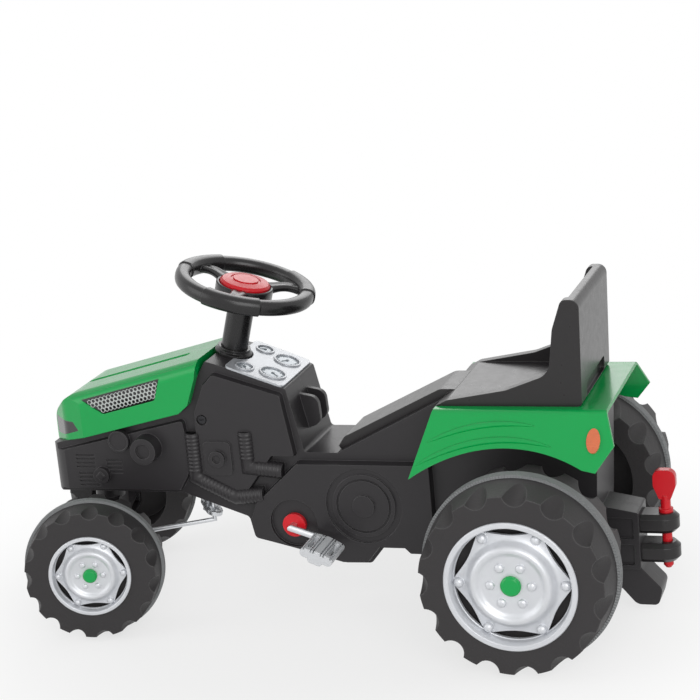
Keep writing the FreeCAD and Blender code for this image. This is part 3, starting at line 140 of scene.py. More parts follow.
# Dials: place up and across the sloping panel, size and needle angle; marks reach over shares of the radius
DASH_SLOPE = math.atan2(30.4, 82)
DASH_FOOT = (357.8, 0.0, 334.21)
DIALS = ((27, 31, "large_dial", 150), (27, -31, "large_dial", 60),
         (66, 43, "small_dial", 120), (66, -43, "small_dial", 30))
TICK_COUNT = 19
TICK_START = -45
TICK_PITCH = 15
TICK_OUTER = 0.93
LONG_TICK = 0.72
SHORT_TICK = 0.82
TICK_HALF = 0.35
TICK_LEVELS = (3.2, 3.75)
NEEDLE_TAIL = -0.15
NEEDLE_TIP = 0.66
NEEDLE_TAIL_HALF = 0.7
NEEDLE_TIP_HALF = 0.25
NEEDLE_LEVELS = (3.4, 4.2)
NEEDLE_CAP = ((NEAR_AXIS, 3.3), (2.2, 3.3), (2.0, 4.5), (NEAR_AXIS, 4.7))

# Grilles: outline of the recess in the bonnet's side, the levels of a dark sheet that paints the shade under
# the net's holes, and the net's levels out from the middle plane
GRILLE_CORNERS = [(664, 319.5), (538, 351.5), (548, 319.5), (631, 298.5)]
GRILLE_MIDDLE = (596, 325)
GRILLE_FALL = math.radians(14.8)
SHADE_SHEET_RINGS = ((73.65, 0.985), (74.9, 0.985), (75.1, 0.97))
NET_SHARE = 0.93
NET_ROWS = 8
NET_COLUMNS = 14
NET_BACK = 74.2
NET_FRONT = 75.9
CELL_CORNER = 0.577
CELL_HOLE = 0.43
WELD = 0.05

# Hoses moulded into each side: ends and bends as X and Z, with straight runs between them
HOSE_RUNS = (((499, 269.5), (499, 203.5), (441, 174.5), (399, 178.5)),
             ((418, 272.5), (418, 219.5), (367, 214.5)))
HOSE_RADIUS = 11.3
HOSE_LEVEL = 67.5
HOSE_SIDES = 24
RING_SWELL = 0.9
RING_STEPS = 6
BARE_LENGTH = 2.0
MITRE_LIMIT = 0.5

# Fender sides slope out from their upper edge; beads are arcs of reach, start, end and half width
FENDER_EDGE_Y = 114.0
FENDER_EDGE_Z = 321.0
FENDER_RUN = 61.0
FENDER_DROP = 83.0
ARCH_MIDDLE = (24.0, 33.7)
BEADS = ((254, 62, 104, 5.0), (272, 67, 98, 4.5))
BEAD_STEPS = 40
BEAD_SIDES = 6
BEAD_SINK = 0.2
BEAD_TIP = 0.01

# Stage, in metres and watts: lights as name, place, power and width
AIM = (0.0, 0.0, 0.25)
LIGHTS = (("key_light", (-1.5, 2.9, 1.6), 60, 2.4), ("fill_light", (2.7, 1.7, 1.4), 27, 2.4),
          ("back_light", (0.4, -2.7, 2.0), 24, 2.0))
AMBIENT = 0.34
FLOOR_REACH = 60.0
FLOOR_FADE = (0.3, 0.8)
FLOOR_GLOW = 0.7
PHOTO_PLACE = (-0.9262, 2.5621, 1.1132)
PHOTO_YAW = math.radians(19.02)
PHOTO_PITCH = math.radians(15.31)
PHOTO_ROLL = math.radians(-5.40)
PHOTO_CLIP = 50
WHITE = (1.0, 1.0, 1.0, 1.0)
SCUFF = (0.62, 0.62, 0.62, 1.0)


def linear(code):
    """Linear colour with full alpha from an sRGB hex value."""
    channels = [int(code[at:at + 2], 16) / 255 for at in (1, 3, 5)]
    return [c / 12.92 if c <= 0.04045 else ((c + 0.055) / 1.055) ** 2.4 for c in channels] + [1.0]


class TractorColours(bpy.types.PropertyGroup):
    """Colours of the mouldings and metals"""

    body: bpy.props.FloatVectorProperty(name="Body", description="Matt body halves",
                                        size=4, subtype="COLOR", default=linear("#2C2A2C"))
    green: bpy.props.FloatVectorProperty(name="Green", description="Bonnet, fenders and caps",
                                         size=4, subtype="COLOR", default=linear("#00A44E"))
    grille: bpy.props.FloatVectorProperty(name="Grille", description="Bonnet side nets",
                                          size=4, subtype="COLOR", default=linear("#C4CAC7"))
    # The lamp colour also paints the shade behind the grille nets, on a dark sheet
    lamp: bpy.props.FloatVectorProperty(name="Lamp", description="Dark headlamp insets",
                                        size=4, subtype="COLOR", default=linear("#161618"))
    panel: bpy.props.FloatVectorProperty(name="Panel", description="Silver instrument panel",
                                         size=4, subtype="COLOR", default=linear("#B4B7BC"))
    black: bpy.props.FloatVectorProperty(name="Black gloss", description="Seat and hitch loops",
                                         size=4, subtype="COLOR", default=linear("#252324"))
    wheel: bpy.props.FloatVectorProperty(name="Steering black", description="Wheel and column",
                                         size=4, subtype="COLOR", default=linear("#1B1A1B"))
    red: bpy.props.FloatVectorProperty(name="Red", description="Horn, crank caps and tow pin",
                                       size=4, subtype="COLOR", default=linear("#D81A26"))
    reflector: bpy.props.FloatVectorProperty(name="Reflector", description="Side reflectors",
                                             size=4, subtype="COLOR", default=linear("#D8672F"))
    tyre: bpy.props.FloatVectorProperty(name="Tyre", description="Blow-moulded tyres",
                                        size=4, subtype="COLOR", default=linear("#302E2F"))
    tread: bpy.props.FloatVectorProperty(name="Tread", description="Grip bands",
                                         size=4, subtype="COLOR", default=linear("#868889"))
    rim: bpy.props.FloatVectorProperty(name="Rim", description="Silver wheel rims",
                                       size=4, subtype="COLOR", default=linear("#D3D5D9"))
    zinc: bpy.props.FloatVectorProperty(name="Zinc", description="Plated rods and pins",
                                        size=4, subtype="COLOR", default=linear("#D9DBDE"))
    steel: bpy.props.FloatVectorProperty(name="Steel", description="Sprockets and chain",
                                         size=4, subtype="COLOR", default=linear("#8E9194"))
    pedal: bpy.props.FloatVectorProperty(name="Pedal", description="Light grey pedals",
                                         size=4, subtype="COLOR", default=linear("#D3D5D8"))
    bush: bpy.props.FloatVectorProperty(name="Bush", description="Natural bearing sleeves",
                                        size=4, subtype="COLOR", default=linear("#DAD9D4"))
    dial: bpy.props.FloatVectorProperty(name="Dial", description="Printed dial faces",
                                        size=4, subtype="COLOR", default=linear("#A6AEB5"))
    ink: bpy.props.FloatVectorProperty(name="Ink", description="Dial marks and needles",
                                       size=4, subtype="COLOR", default=linear("#737C83"))
    screw: bpy.props.FloatVectorProperty(name="Screw", description="Blackened case screws",
                                         size=4, subtype="COLOR", default=linear("#3A3A3C"))
    floor: bpy.props.FloatVectorProperty(name="Floor", description="Studio floor",
                                         size=4, subtype="COLOR", default=linear("#F4F4F3"))


class TractorSizes(bpy.types.PropertyGroup):
    """Sizes of surface detail and of the stage"""

    grain: bpy.props.FloatProperty(name="Mould grain", description="Width of the spark-eroded mould grain",
                                   default=1.4 * MM, unit="LENGTH")
    hide: bpy.props.FloatProperty(name="Tyre grain", description="Width of the tyre's leather-like cells",
                                  default=4.5 * MM, unit="LENGTH")
    edge: bpy.props.FloatProperty(name="Edge round", description="Radius that the moulded edges show",
                                  default=1.3 * MM, unit="LENGTH")
    knurl: bpy.props.FloatProperty(name="Knurl pitch", description="Pitch of the grip band's diamonds",
                                   default=4.0 * MM, unit="LENGTH")
    prism: bpy.props.FloatProperty(name="Prism pitch", description="Pitch of the reflector's cells",
                                   default=3.0 * MM, unit="LENGTH")
    large_dial: bpy.props.FloatProperty(name="Large dial", description="Radius of the rear dial faces",
                                        default=16.8 * MM, unit="LENGTH")
    small_dial: bpy.props.FloatProperty(name="Small dial", description="Radius of the front dial faces",
                                        default=11.0 * MM, unit="LENGTH")
    hose: bpy.props.FloatProperty(name="Hose rings", description="Pitch of the rings on the moulded hoses",
                                  default=5.6 * MM, unit="LENGTH")
    bead: bpy.props.FloatProperty(name="Fender bead", description="Height of the raised lines on the fender",
                                  default=3.6 * MM, unit="LENGTH")
    cell: bpy.props.FloatProperty(name="Grille cell", description="Width of a cell across its flats",
                                  default=6.4 * MM, unit="LENGTH")
    lens: bpy.props.FloatProperty(name="Lens", description="Focal length for a 36 mm sensor",
                                  default=102.95, unit="CAMERA")


def colours():
    return bpy.context.scene.tractor_colours


def sizes():
    return bpy.context.scene.tractor_sizes


def add(tree, kind, inputs=None, **settings):
    """One node with its settings; an input, by name or number, takes a value or another node's output."""
    node = tree.nodes.new(kind)
    for name, value in settings.items():
        setattr(node, name, value)
    for name, value in (inputs or {}).items():
        if isinstance(value, bpy.types.NodeSocket):
            tree.links.new(value, node.inputs[name])
        else:
            node.inputs[name].default_value = value
    return node


def reckon(tree, operation, *values):
    """Result of a sum on values or other nodes' outputs."""
    return add(tree, "ShaderNodeMath", dict(enumerate(values)), operation=operation).outputs["Value"]


def start_material(name, **sockets):
    """Material with its shader's constant values set on the shader itself."""
    material = bpy.data.materials.new(name)
    material.use_nodes = True
    tree = material.node_tree
    shader = tree.nodes["Principled BSDF"]
    for socket, value in sockets.items():
        shader.inputs[socket.replace("_", " ")].default_value = value
    return material, tree, shader


def place(tree):
    """Position on the part in metres."""
    return add(tree, "ShaderNodeTexCoord").outputs["Object"]


def round_edges(tree, radius):
    """Normal that shows the edges with a small radius."""
    return add(tree, "ShaderNodeBevel", {"Radius": radius}, samples=6).outputs["Normal"]


def vary_colour(tree, shader, vector, colour, patch, amount):
    """Slow drift of the colour over patches of a real width."""
    drift = add(tree, "ShaderNodeTexNoise", {"Vector": vector, "Scale": 1 / patch, "Detail": 3.0})
    dark = [c * (1 - amount) for c in colour[:3]] + [1.0]
    light = [min(1.0, c * (1 + amount)) for c in colour[:3]] + [1.0]
    mix = add(tree, "ShaderNodeMix", {"Factor": drift.outputs["Fac"], "A": dark, "B": light},
              data_type="RGBA")
    tree.links.new(mix.outputs["Result"], shader.inputs["Base Color"])


def wear_edges(tree, shader, rounded, strength):
    """Rubbed edges: paler where the rounded normal leaves the face's own."""
    flat = add(tree, "ShaderNodeNewGeometry").outputs["Normal"]
    match = add(tree, "ShaderNodeVectorMath", {0: rounded, 1: flat}, operation="DOT_PRODUCT")
    mask = add(tree, "ShaderNodeMapRange", {"Value": match.outputs["Value"], "From Min": 0.995,
                                            "From Max": 0.80, "To Min": 0.0, "To Max": strength})
    unworn = shader.inputs["Base Color"].links[0].from_socket
    mix = add(tree, "ShaderNodeMix", {"Factor": mask.outputs["Result"], "A": unworn, "B": SCUFF},
              data_type="RGBA")
    tree.links.new(mix.outputs["Result"], shader.inputs["Base Color"])


def set_surface(tree, shader, relief, gloss):
    """Lead a relief and a gloss into the shader."""
    tree.links.new(gloss.outputs["Result"], shader.inputs["Roughness"])
    tree.links.new(relief.outputs["Normal"], shader.inputs["Normal"])


def finish(name, colour, patch, drift, width, depth, rough, spread, wear=0.0, detail=2.0, **sockets):
    """Drifting colour, fine grain in relief and in gloss, and soft edges that may be rubbed pale."""
    material, tree, shader = start_material(name, **sockets)
    vector = place(tree)
    vary_colour(tree, shader, vector, colour, patch, drift)
    rounded = round_edges(tree, sizes().edge)
    grain = add(tree, "ShaderNodeTexNoise", {"Vector": vector, "Scale": 1 / width, "Detail": detail})
    relief = add(tree, "ShaderNodeBump", {"Strength": 1.0, "Distance": depth, "Height": grain.outputs["Fac"],
                                          "Normal": rounded})
    gloss = add(tree, "ShaderNodeMapRange", {"Value": grain.outputs["Fac"], "To Min": rough - spread,
                                             "To Max": rough + spread})
    set_surface(tree, shader, relief, gloss)
    if wear:
        wear_edges(tree, shader, rounded, wear)
    return material


def moulded(name, colour, drift=0.08, **values):
    """Injection-moulded plastic: its colour drifts over a hand's width, and its gloss a little."""
    return finish(name, colour, patch=120 * MM, drift=drift, spread=0.06, **values)


def body_plastic():
    # Matt polypropylene from a spark-eroded mould: even charcoal with a fine dry grain
    return moulded("matt_moulded_polypropylene", colours().body, rough=0.38, width=sizes().grain,
                   depth=0.07 * MM, wear=0.10, IOR=1.49, Specular_IOR_Level=0.35)


def green_plastic():
    # Polished polypropylene: clear highlights with a faint orange peel and hardly any grain
    return moulded("polished_green_polypropylene", colours().green, drift=0.05, rough=0.2, width=14 * MM,
                   depth=0.05 * MM, wear=0.05, IOR=1.49, Specular_IOR_Level=0.4)


def grille_plastic():
    # Silver-grey satin ABS, lightly grained, pale against the dark sheet of painted shade under the holes
    return moulded("satin_grey_abs", colours().grille, rough=0.38, width=sizes().grain, depth=0.05 * MM,
                   wear=0.08, IOR=1.52)


def lamp_plastic():
    # Polished dark ABS: almost black with sharp reflections
    return moulded("polished_dark_abs", colours().lamp, rough=0.2, width=10 * MM, depth=0.03 * MM, wear=0.04,
                   IOR=1.52, Coat_Weight=0.4, Coat_Roughness=0.05)


def panel_plastic():
    # Silver-flake ABS: metallic sparkle under a glossy skin
    return finish("silver_flake_abs", colours().panel, patch=30 * MM, drift=0.06, width=1.2 * MM,
                  depth=0.03 * MM, rough=0.32, spread=0.08, Metallic=0.25, IOR=1.52, Coat_Weight=0.25,
                  Coat_Roughness=0.08)


def black_plastic():
    # Polished black polypropylene: charcoal in strong light, with broad soft highlights
    return moulded("polished_black_polypropylene", colours().black, rough=0.3, width=9 * MM, depth=0.04 * MM,
                   wear=0.06, IOR=1.49, Specular_IOR_Level=0.4)


def steering_plastic():
    # Satin black polypropylene, worn smooth: near black with long clear highlights
    return moulded("satin_black_polypropylene", colours().wheel, rough=0.28, width=8 * MM, depth=0.03 * MM,
                   wear=0.05, IOR=1.49, Specular_IOR_Level=0.45)


def red_plastic():
    # Polished red polypropylene with a slight bloom on the edges
    return moulded("polished_red_polypropylene", colours().red, drift=0.05, rough=0.3, width=10 * MM,
                   depth=0.04 * MM, wear=0.06, IOR=1.49, Specular_IOR_Level=0.4)


def pedal_plastic():
    # Pale grey polypropylene, satin, scuffed along its ribs
    return moulded("satin_grey_polypropylene", colours().pedal, rough=0.42, width=sizes().grain,
                   depth=0.06 * MM, wear=0.10, IOR=1.49)


def bush_plastic():
    # Natural acetal: milky and slightly waxy
    return moulded("natural_acetal", colours().bush, rough=0.36, width=2 * MM, depth=0.02 * MM, wear=0.05,
                   IOR=1.48)


def reflector_plastic():
    # Moulded acrylic with corner-cube cells behind a clear face
    material, tree, shader = start_material("prismatic_orange_acrylic", IOR=1.49, Coat_Weight=1.0,
                                            Coat_Roughness=0.04, Roughness=0.22)
    vector = place(tree)
    vary_colour(tree, shader, vector, colours().reflector, patch=12 * MM, amount=0.18)
    cells = add(tree, "ShaderNodeTexVoronoi", {"Vector": vector, "Scale": 1 / sizes().prism,
                                               "Randomness": 0.0})
    relief = add(tree, "ShaderNodeBump", {"Strength": 0.7, "Distance": 0.5 * MM,
                                          "Height": cells.outputs["Distance"]})
    tree.links.new(relief.outputs["Normal"], shader.inputs["Normal"])
    return material


def tyre_plastic():
    # Blow-moulded polyethylene: dull, with a leather-like cell pattern from the mould
    material, tree, shader = start_material("grained_polyethylene", IOR=1.5, Specular_IOR_Level=0.35)
    vector = place(tree)
    vary_colour(tree, shader, vector, colours().tyre, patch=60 * MM, amount=0.12)
    rounded = round_edges(tree, 2 * sizes().edge)
    cells = add(tree, "ShaderNodeTexVoronoi", {"Vector": vector, "Scale": 1 / sizes().hide},
                feature="SMOOTH_F1")
    fine = add(tree, "ShaderNodeTexNoise", {"Vector": vector, "Scale": 1 / sizes().grain, "Detail": 3.0})
    height = reckon(tree, "ADD", cells.outputs["Distance"], fine.outputs["Fac"])
    relief = add(tree, "ShaderNodeBump", {"Strength": 0.8, "Distance": 0.25 * MM, "Height": height,
                                          "Normal": rounded})
    gloss = add(tree, "ShaderNodeMapRange", {"Value": fine.outputs["Fac"], "To Min": 0.48, "To Max": 0.66})
    set_surface(tree, shader, relief, gloss)
    wear_edges(tree, shader, rounded, strength=0.12)
    return material


def tread_rubber(node):
    # Moulded rubber band with a diamond knurl round the wheel
    low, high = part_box(node)
    kind = node.split("_")[0]
    name = "knurled_rubber_" + node.split("_", 3)[-1] + "_" + kind
    material, tree, shader = start_material(name, IOR=1.5)
    vector = place(tree)
    vary_colour(tree, shader, vector, colours().tread, patch=40 * MM, amount=0.14)
    turn = STEER_REST if kind == "front" else 0.0
    local = add(tree, "ShaderNodeMapping", {"Vector": vector, "Location": (low + high) / 2,
                                            "Rotation": (0.0, 0.0, turn)}, vector_type="TEXTURE")
    split = add(tree, "ShaderNodeSeparateXYZ", {"Vector": local.outputs["Vector"]})
    angle = reckon(tree, "ARCTAN2", split.outputs["Z"], split.outputs["X"])
    radius = (high.z - low.z) / 2
    count = round(2 * math.pi * radius / sizes().knurl)
    waves = []
    for way in (1, -1):
        across = reckon(tree, "MULTIPLY", split.outputs["Y"], way * 2 * math.pi / sizes().knurl)
        waves.append(reckon(tree, "SINE", reckon(tree, "MULTIPLY_ADD", angle, count, across)))
    height = reckon(tree, "MINIMUM", *waves)
    relief = add(tree, "ShaderNodeBump", {"Strength": 0.9, "Distance": 0.5 * MM, "Height": height})
    gloss = add(tree, "ShaderNodeMapRange", {"Value": height, "From Min": -1.0, "To Min": 0.7, "To Max": 0.5})
    set_surface(tree, shader, relief, gloss)
    return material


def rim_plastic():
    # Silver-flake polypropylene: soft metallic sheen, slightly uneven flow of the flakes
    return finish("silver_flake_polypropylene", colours().rim, patch=35 * MM, drift=0.07, width=1.5 * MM,
                  depth=0.04 * MM, rough=0.38, spread=0.07, wear=0.06, Metallic=0.35, IOR=1.49,
                  Coat_Weight=0.2, Coat_Roughness=0.2)


def plated_steel():
    # Bright zinc plate on drawn rod: pale, with a clouded shine
    return finish("zinc_plated_steel", colours().zinc, patch=15 * MM, drift=0.08, width=4.0 * MM,
                  depth=0.01 * MM, rough=0.36, spread=0.08, Metallic=1.0)


def stamped_steel():
    # Oiled stamped steel: grey, with a patchy shine
    return finish("oiled_steel", colours().steel, patch=10 * MM, drift=0.15, width=1.5 * MM, depth=0.03 * MM,
                  rough=0.35, spread=0.1, detail=5.0, Metallic=1.0)


def black_screw():
    # Phosphated steel screw heads: soft black with a dull metal shine
    return finish("phosphated_steel", colours().screw, patch=6 * MM, drift=0.15, width=1.0 * MM,
                  depth=0.02 * MM, rough=0.45, spread=0.1, Metallic=1.0)


def dial_card():
    # Printed foil under clear lacquer: cool pale grey with a soft silver sheen
    return finish("printed_silver_foil", colours().dial, patch=8 * MM, drift=0.12, width=1.0 * MM,
                  depth=0.01 * MM, rough=0.3, spread=0.05, Metallic=0.2, IOR=1.5, Coat_Weight=0.3,
                  Coat_Roughness=0.06)


def dial_ink():
    # Printing ink: flat grey marks with a slight gloss
    return moulded("dark_printing_ink", colours().ink, rough=0.4, width=1.0 * MM, depth=0.01 * MM, IOR=1.5)


def paint(node, material):
    """Give one CAD node a finish."""
    NODES[node].data.materials.clear()
    NODES[node].data.materials.append(material)


def dress(slot, material):
    """Give every CAD node of a material slot the finish."""
    for name, owner in SLOT_OF.items():
        if owner == slot:
            paint(name, material)


def at(x, y, z):
    """Place in the row frame of millimetres ahead of the rear axle, to its left and above the ground."""
    return ORIGIN + Vector((x, y, z)) * MM


def ray(angle):
    """Unit vector at an angle in a frame's XY plane."""
    return Vector((math.cos(angle), math.sin(angle), 0.0))


def skin(shape, rings, closed=False, layer=0):
    """Quads over a row of rings; a row that is not closed gets two end faces."""
    rows = [[shape.verts.new(point) for point in ring] for ring in rings]
    pairs = list(zip(rows, rows[1:]))
    faces = []
    if closed:
        pairs.append((rows[-1], rows[0]))
    else:
        faces += [shape.faces.new(rows[0]), shape.faces.new(rows[-1])]
    for first, second in pairs:
        for k in range(len(first)):
            faces.append(shape.faces.new((first[k - 1], first[k], second[k], second[k - 1])))
    for face in faces:
        face.material_index = layer


def lathe(shape, frame_at, profile, steps=72, layer=0):
    """Closed profile of (radius, height) in millimetres turned about a frame's Z axis."""
    rings = []
    for step in range(steps):
        turn = 2 * math.pi * step / steps
        cosine, sine = math.cos(turn), math.sin(turn)
        rings.append([frame_at @ (Vector((r * cosine, r * sine, h)) * MM) for r, h in profile])
    skin(shape, rings, closed=True, layer=layer)


def squarish(half_width, half_height, count=24):
    """Points round a softly squared oval."""
    power = 2 / TUBE_SQUARENESS
    points = []
    for k in range(count):
        turn = 2 * math.pi * (k + 0.5) / count
        across, up = math.cos(turn), math.sin(turn)
        points.append((half_width * math.copysign(abs(across) ** power, across),
                       half_height * math.copysign(abs(up) ** power, up)))
    return points


def link_mesh(name, shape, materials):
    """New object of a bmesh, smooth but for edges sharper than the crease angle."""
    bmesh.ops.recalc_face_normals(shape, faces=shape.faces)
    for face in shape.faces:
        face.smooth = True
    mesh = bpy.data.meshes.new(name)
    shape.to_mesh(mesh)
    shape.free()
    mesh.set_sharp_from_angle(angle=CREASE)
    for material in materials:
        mesh.materials.append(material)
    piece = bpy.data.objects.new(name, mesh)
    bpy.context.scene.collection.objects.link(piece)
    return piece


def add_piece(name, shape, body, materials):
    """New piece that moves with a CAD body and takes the finishes it is given."""
    piece = link_mesh(name, shape, materials)
    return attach(piece, body)


def column_frame():
    """Frame at the foot of the steering column, Z up its axis, turned with the wheel."""
    lean = Matrix.Rotation(-COLUMN_LEAN, 4, "Y") @ Matrix.Rotation(COLUMN_TURN, 4, "Z")
    return Matrix.Translation(at(*COLUMN_FOOT)) @ lean


def wheel_rim(shape, column):
    """Rim that is thicker over each of three 50 degree grips, with a short step at their ends."""
    low, high = GRIP_HALF - GRIP_STEP, GRIP_HALF + GRIP_STEP
    over_grip = [-22 + 4 * k for k in range(12)]
    between_grips = [29 + 3.8 * k for k in range(17)]
    rings = []
    for middle in GRIP_MIDDLES:
        for stop in [-high, -low] + over_grip + [low, high] + between_grips:
            tube = GRIP_TUBE if abs(stop) < GRIP_HALF else WHEEL_TUBE
            spun = column @ Matrix.Rotation(math.radians(middle + stop), 4, "Z")
            rings.append([spun @ (Vector((WHEEL_RADIUS + x, 0.0, WHEEL_STATION + z)) * MM)
                          for x, z in squarish(tube, tube)])
    skin(shape, rings, closed=True)


def wheel_spokes(shape, column):
    """Three arched spokes, wider at both ends, with a shallow groove along the top."""
    for middle in GRIP_MIDDLES:
        spun = column @ Matrix.Rotation(math.radians(middle), 4, "Z")
        rings = []
        for step in range(SPOKE_STEPS + 1):
            run = step / SPOKE_STEPS
            flare = (2 * run - 1) ** 2
            lift = WHEEL_STATION - SPOKE_DROP + SPOKE_ARCH * math.sin(math.pi * run)
            wide, tall = [waist + more * flare for waist, more in zip(SPOKE_WAIST, SPOKE_FLARE)]
            ring = []
            for y, z in squarish(wide, tall, count=32):
                dip = max(0.0, 1 - (y / GROOVE_HALF) ** 2) * GROOVE_DEPTH if z > 0 else 0.0
                ring.append(spun @ (Vector((SPOKE_START + SPOKE_LENGTH * run, y, lift + z - dip)) * MM))
            rings.append(ring)
        skin(shape, rings)


def steering_form(material):
    """Smooth steering wheel in place of the CAD wheel's eight-sided rim."""
    column = column_frame()
    shape = bmesh.new()
    wheel_rim(shape, column)
    wheel_spokes(shape, column)
    lathe(shape, column, [(r, WHEEL_STATION + h) for r, h in HUB_PROFILE])
    wheel = add_piece("steering_wheel_form", shape, "steering", [material])
    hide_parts("steering_wheel")


def horn_leaf(material):
    """Folded strip under the horn button, copied from the CAD strip."""
    shape = bmesh.new()
    shape.from_mesh(NODES["horn_spring"].data)
    leaf = add_piece("horn_spring_leaf", shape, "steering", [material])
    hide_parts("horn_spring")
    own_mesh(leaf)


def rim_rows(turn):
    """Rows round a rear rim's section at an angle from a window's middle, as radius and height."""
    edge = WINDOW_REACH - max(WINDOW_END, WINDOW_DEPTH * (1 - (turn / WINDOW_HALF) ** 2))
    return RIM_LIP + ((edge, DISC_FRONT),) + RIM_DISC + ((edge, DISC_BACK),) + RIM_BACK


def rim_shell(shape, place_on):
    """Dished shell with six lens-shaped windows between its studs."""
    outer, inner = len(RIM_LIP) - 1, len(RIM_LIP)
    inner_back = inner + len(RIM_DISC) + 1
    outer_back = inner_back + 1
    step = 360 / RIM_STEPS
    angles = [step * k for k in range(RIM_STEPS)]
    rings = []
    for angle in angles:
        rows = rim_rows(angle % WINDOW_PITCH - WINDOW_PITCH / 2)
        rings.append([shape.verts.new(place_on(r, math.radians(angle), h)) for r, h in rows])
    is_open = [abs((angle + step / 2) % WINDOW_PITCH - WINDOW_PITCH / 2) < WINDOW_HALF for angle in angles]
    for k in range(RIM_STEPS):
        here, ahead = rings[k], rings[(k + 1) % RIM_STEPS]
        pairs = [(row, (row + 1) % len(here)) for row in range(len(here))]
        if is_open[k]:
            pairs.remove((outer, inner))
            pairs.remove((inner_back, outer_back))
            pairs += [(outer, outer_back), (inner_back, inner)]
        for a, b in pairs:
            shape.faces.new((here[a], here[b], ahead[b], ahead[a]))
        if is_open[k] != is_open[k - 1]:
            shape.faces.new([here[row] for row in (outer, inner, inner_back, outer_back)])


def rim_form(node, body, hub, turn, across, along, material):
    """Smooth rim in place of a CAD rim: shell, six domed studs and six bolts."""
    frame_at = Matrix.Translation(hub) @ Matrix.Rotation(turn, 4, "Z") @ Matrix.Rotation(-math.pi / 2, 4, "X")
    face = RIM_FACE[node.split("_")[0]]

    def level(height):
        return face + along * (height - RIM_FACE["rear"])

    def place_on(radius, angle, height):
        return frame_at @ ((ray(angle) * across * radius + Vector((0.0, 0.0, level(height)))) * MM)

    shape = bmesh.new()
    rim_shell(shape, place_on)
    for reach, profile in ((STUD_REACH, STUD_PROFILE), (BOLT_REACH, BOLT_PROFILE)):
        for k in range(6):
            seat = Matrix.Translation(ray(math.radians(WINDOW_PITCH * k)) * across * reach * MM)
            lathe(shape, frame_at @ seat, [(across * r, level(h)) for r, h in profile], steps=24)
    piece = add_piece(node.replace("rim", "rim_form"), shape, body, [material])
    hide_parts(node)


def rims(material):
    """Four rims; the front ones are scaled copies of the rear ones, steered as at rest."""
    for side, name in SIDES:
        turn = 0.0 if side > 0 else math.pi
        x, y, z = REAR_WHEEL
        rim_form("rear_rim_" + name, "rear_drive", at(x, side * y, z), turn, 1.0, 1.0, material)
        x, y, z = FRONT_WHEEL
        hub = at(x - side * y * math.sin(STEER_REST), side * y * math.cos(STEER_REST), z)
        rim_form("front_rim_" + name, "front_wheel_" + name, hub, turn + STEER_REST, FRONT_ACROSS,
                 FRONT_ALONG, material)


def mark(shape, seat, angle, outline, levels):
    """Raised printed mark of an outline, turned about a dial's middle."""
    turned = seat @ Matrix.Rotation(math.radians(angle), 4, "Z")
    skin(shape, [[turned @ (Vector((x, y, h)) * MM) for x, y in outline] for h in levels], layer=1)


def dial_marks(shape, seat, radius, needle):
    """Raised ticks over three quarters of a dial, with a needle and its cap."""
    outer = TICK_OUTER * radius
    for tick in range(TICK_COUNT):
        inner = (LONG_TICK if tick % 3 == 0 else SHORT_TICK) * radius
        outline = [(inner, -TICK_HALF), (outer, -TICK_HALF), (outer, TICK_HALF), (inner, TICK_HALF)]
        mark(shape, seat, TICK_START + TICK_PITCH * tick, outline, TICK_LEVELS)
    tail, tip = NEEDLE_TAIL * radius, NEEDLE_TIP * radius
    outline = [(tail, -NEEDLE_TAIL_HALF), (tip, -NEEDLE_TIP_HALF), (tip, NEEDLE_TIP_HALF),
               (tail, NEEDLE_TAIL_HALF)]
    mark(shape, seat, needle, outline, NEEDLE_LEVELS)
    lathe(shape, seat, NEEDLE_CAP, steps=20, layer=1)


def dial_faces(face_material, mark_material):
    """Four dials inside the panel's bezels: slightly domed faces with ticks and needles."""
    shape = bmesh.new()
    panel = Matrix.Translation(at(*DASH_FOOT)) @ Matrix.Rotation(-DASH_SLOPE, 4, "Y")
    for x, y, size, needle in DIALS:
        radius = getattr(sizes(), size) / MM
        seat = panel @ Matrix.Translation(Vector((x, y, 0)) * MM)
        dome = [(NEAR_AXIS, 2.9), (radius, 2.9), (radius, 3.15), (0.94 * radius, 3.3), (0.5 * radius, 3.42),
                (NEAR_AXIS, 3.48)]
        lathe(shape, seat, dome, steps=48)
        dial_marks(shape, seat, radius, needle)
    add_piece("dial_faces", shape, "chassis", [face_material, mark_material])


def inside(point, corners):
    """True for a point within a convex outline."""
    turns = []
    for (ax, az), (bx, bz) in zip(corners, corners[1:] + corners[:1]):
        turns.append((bx - ax) * (point[1] - az) - (bz - az) * (point[0] - ax))
    return min(turns) > 0 or max(turns) < 0


def scaled(corners, share):
    """Outline scaled about its middle."""
    mid_x = sum(x for x, z in corners) / len(corners)
    mid_z = sum(z for x, z in corners) / len(corners)
    return [(mid_x + share * (x - mid_x), mid_z + share * (z - mid_z)) for x, z in corners]


def net_cell(shape, x, z, side, cell):
    """One six-sided cell of the net, open in the middle."""
    spots = [math.radians(30 + 60 * k) - GRILLE_FALL for k in range(6)]
    rings = []
    for level, share in ((NET_BACK, CELL_CORNER), (NET_FRONT, CELL_CORNER), (NET_FRONT, CELL_HOLE),
                         (NET_BACK, CELL_HOLE)):
        rings.append([at(x + cell * share * math.cos(s), side * level, z + cell * share * math.sin(s))
                      for s in spots])
    skin(shape, rings, closed=True)


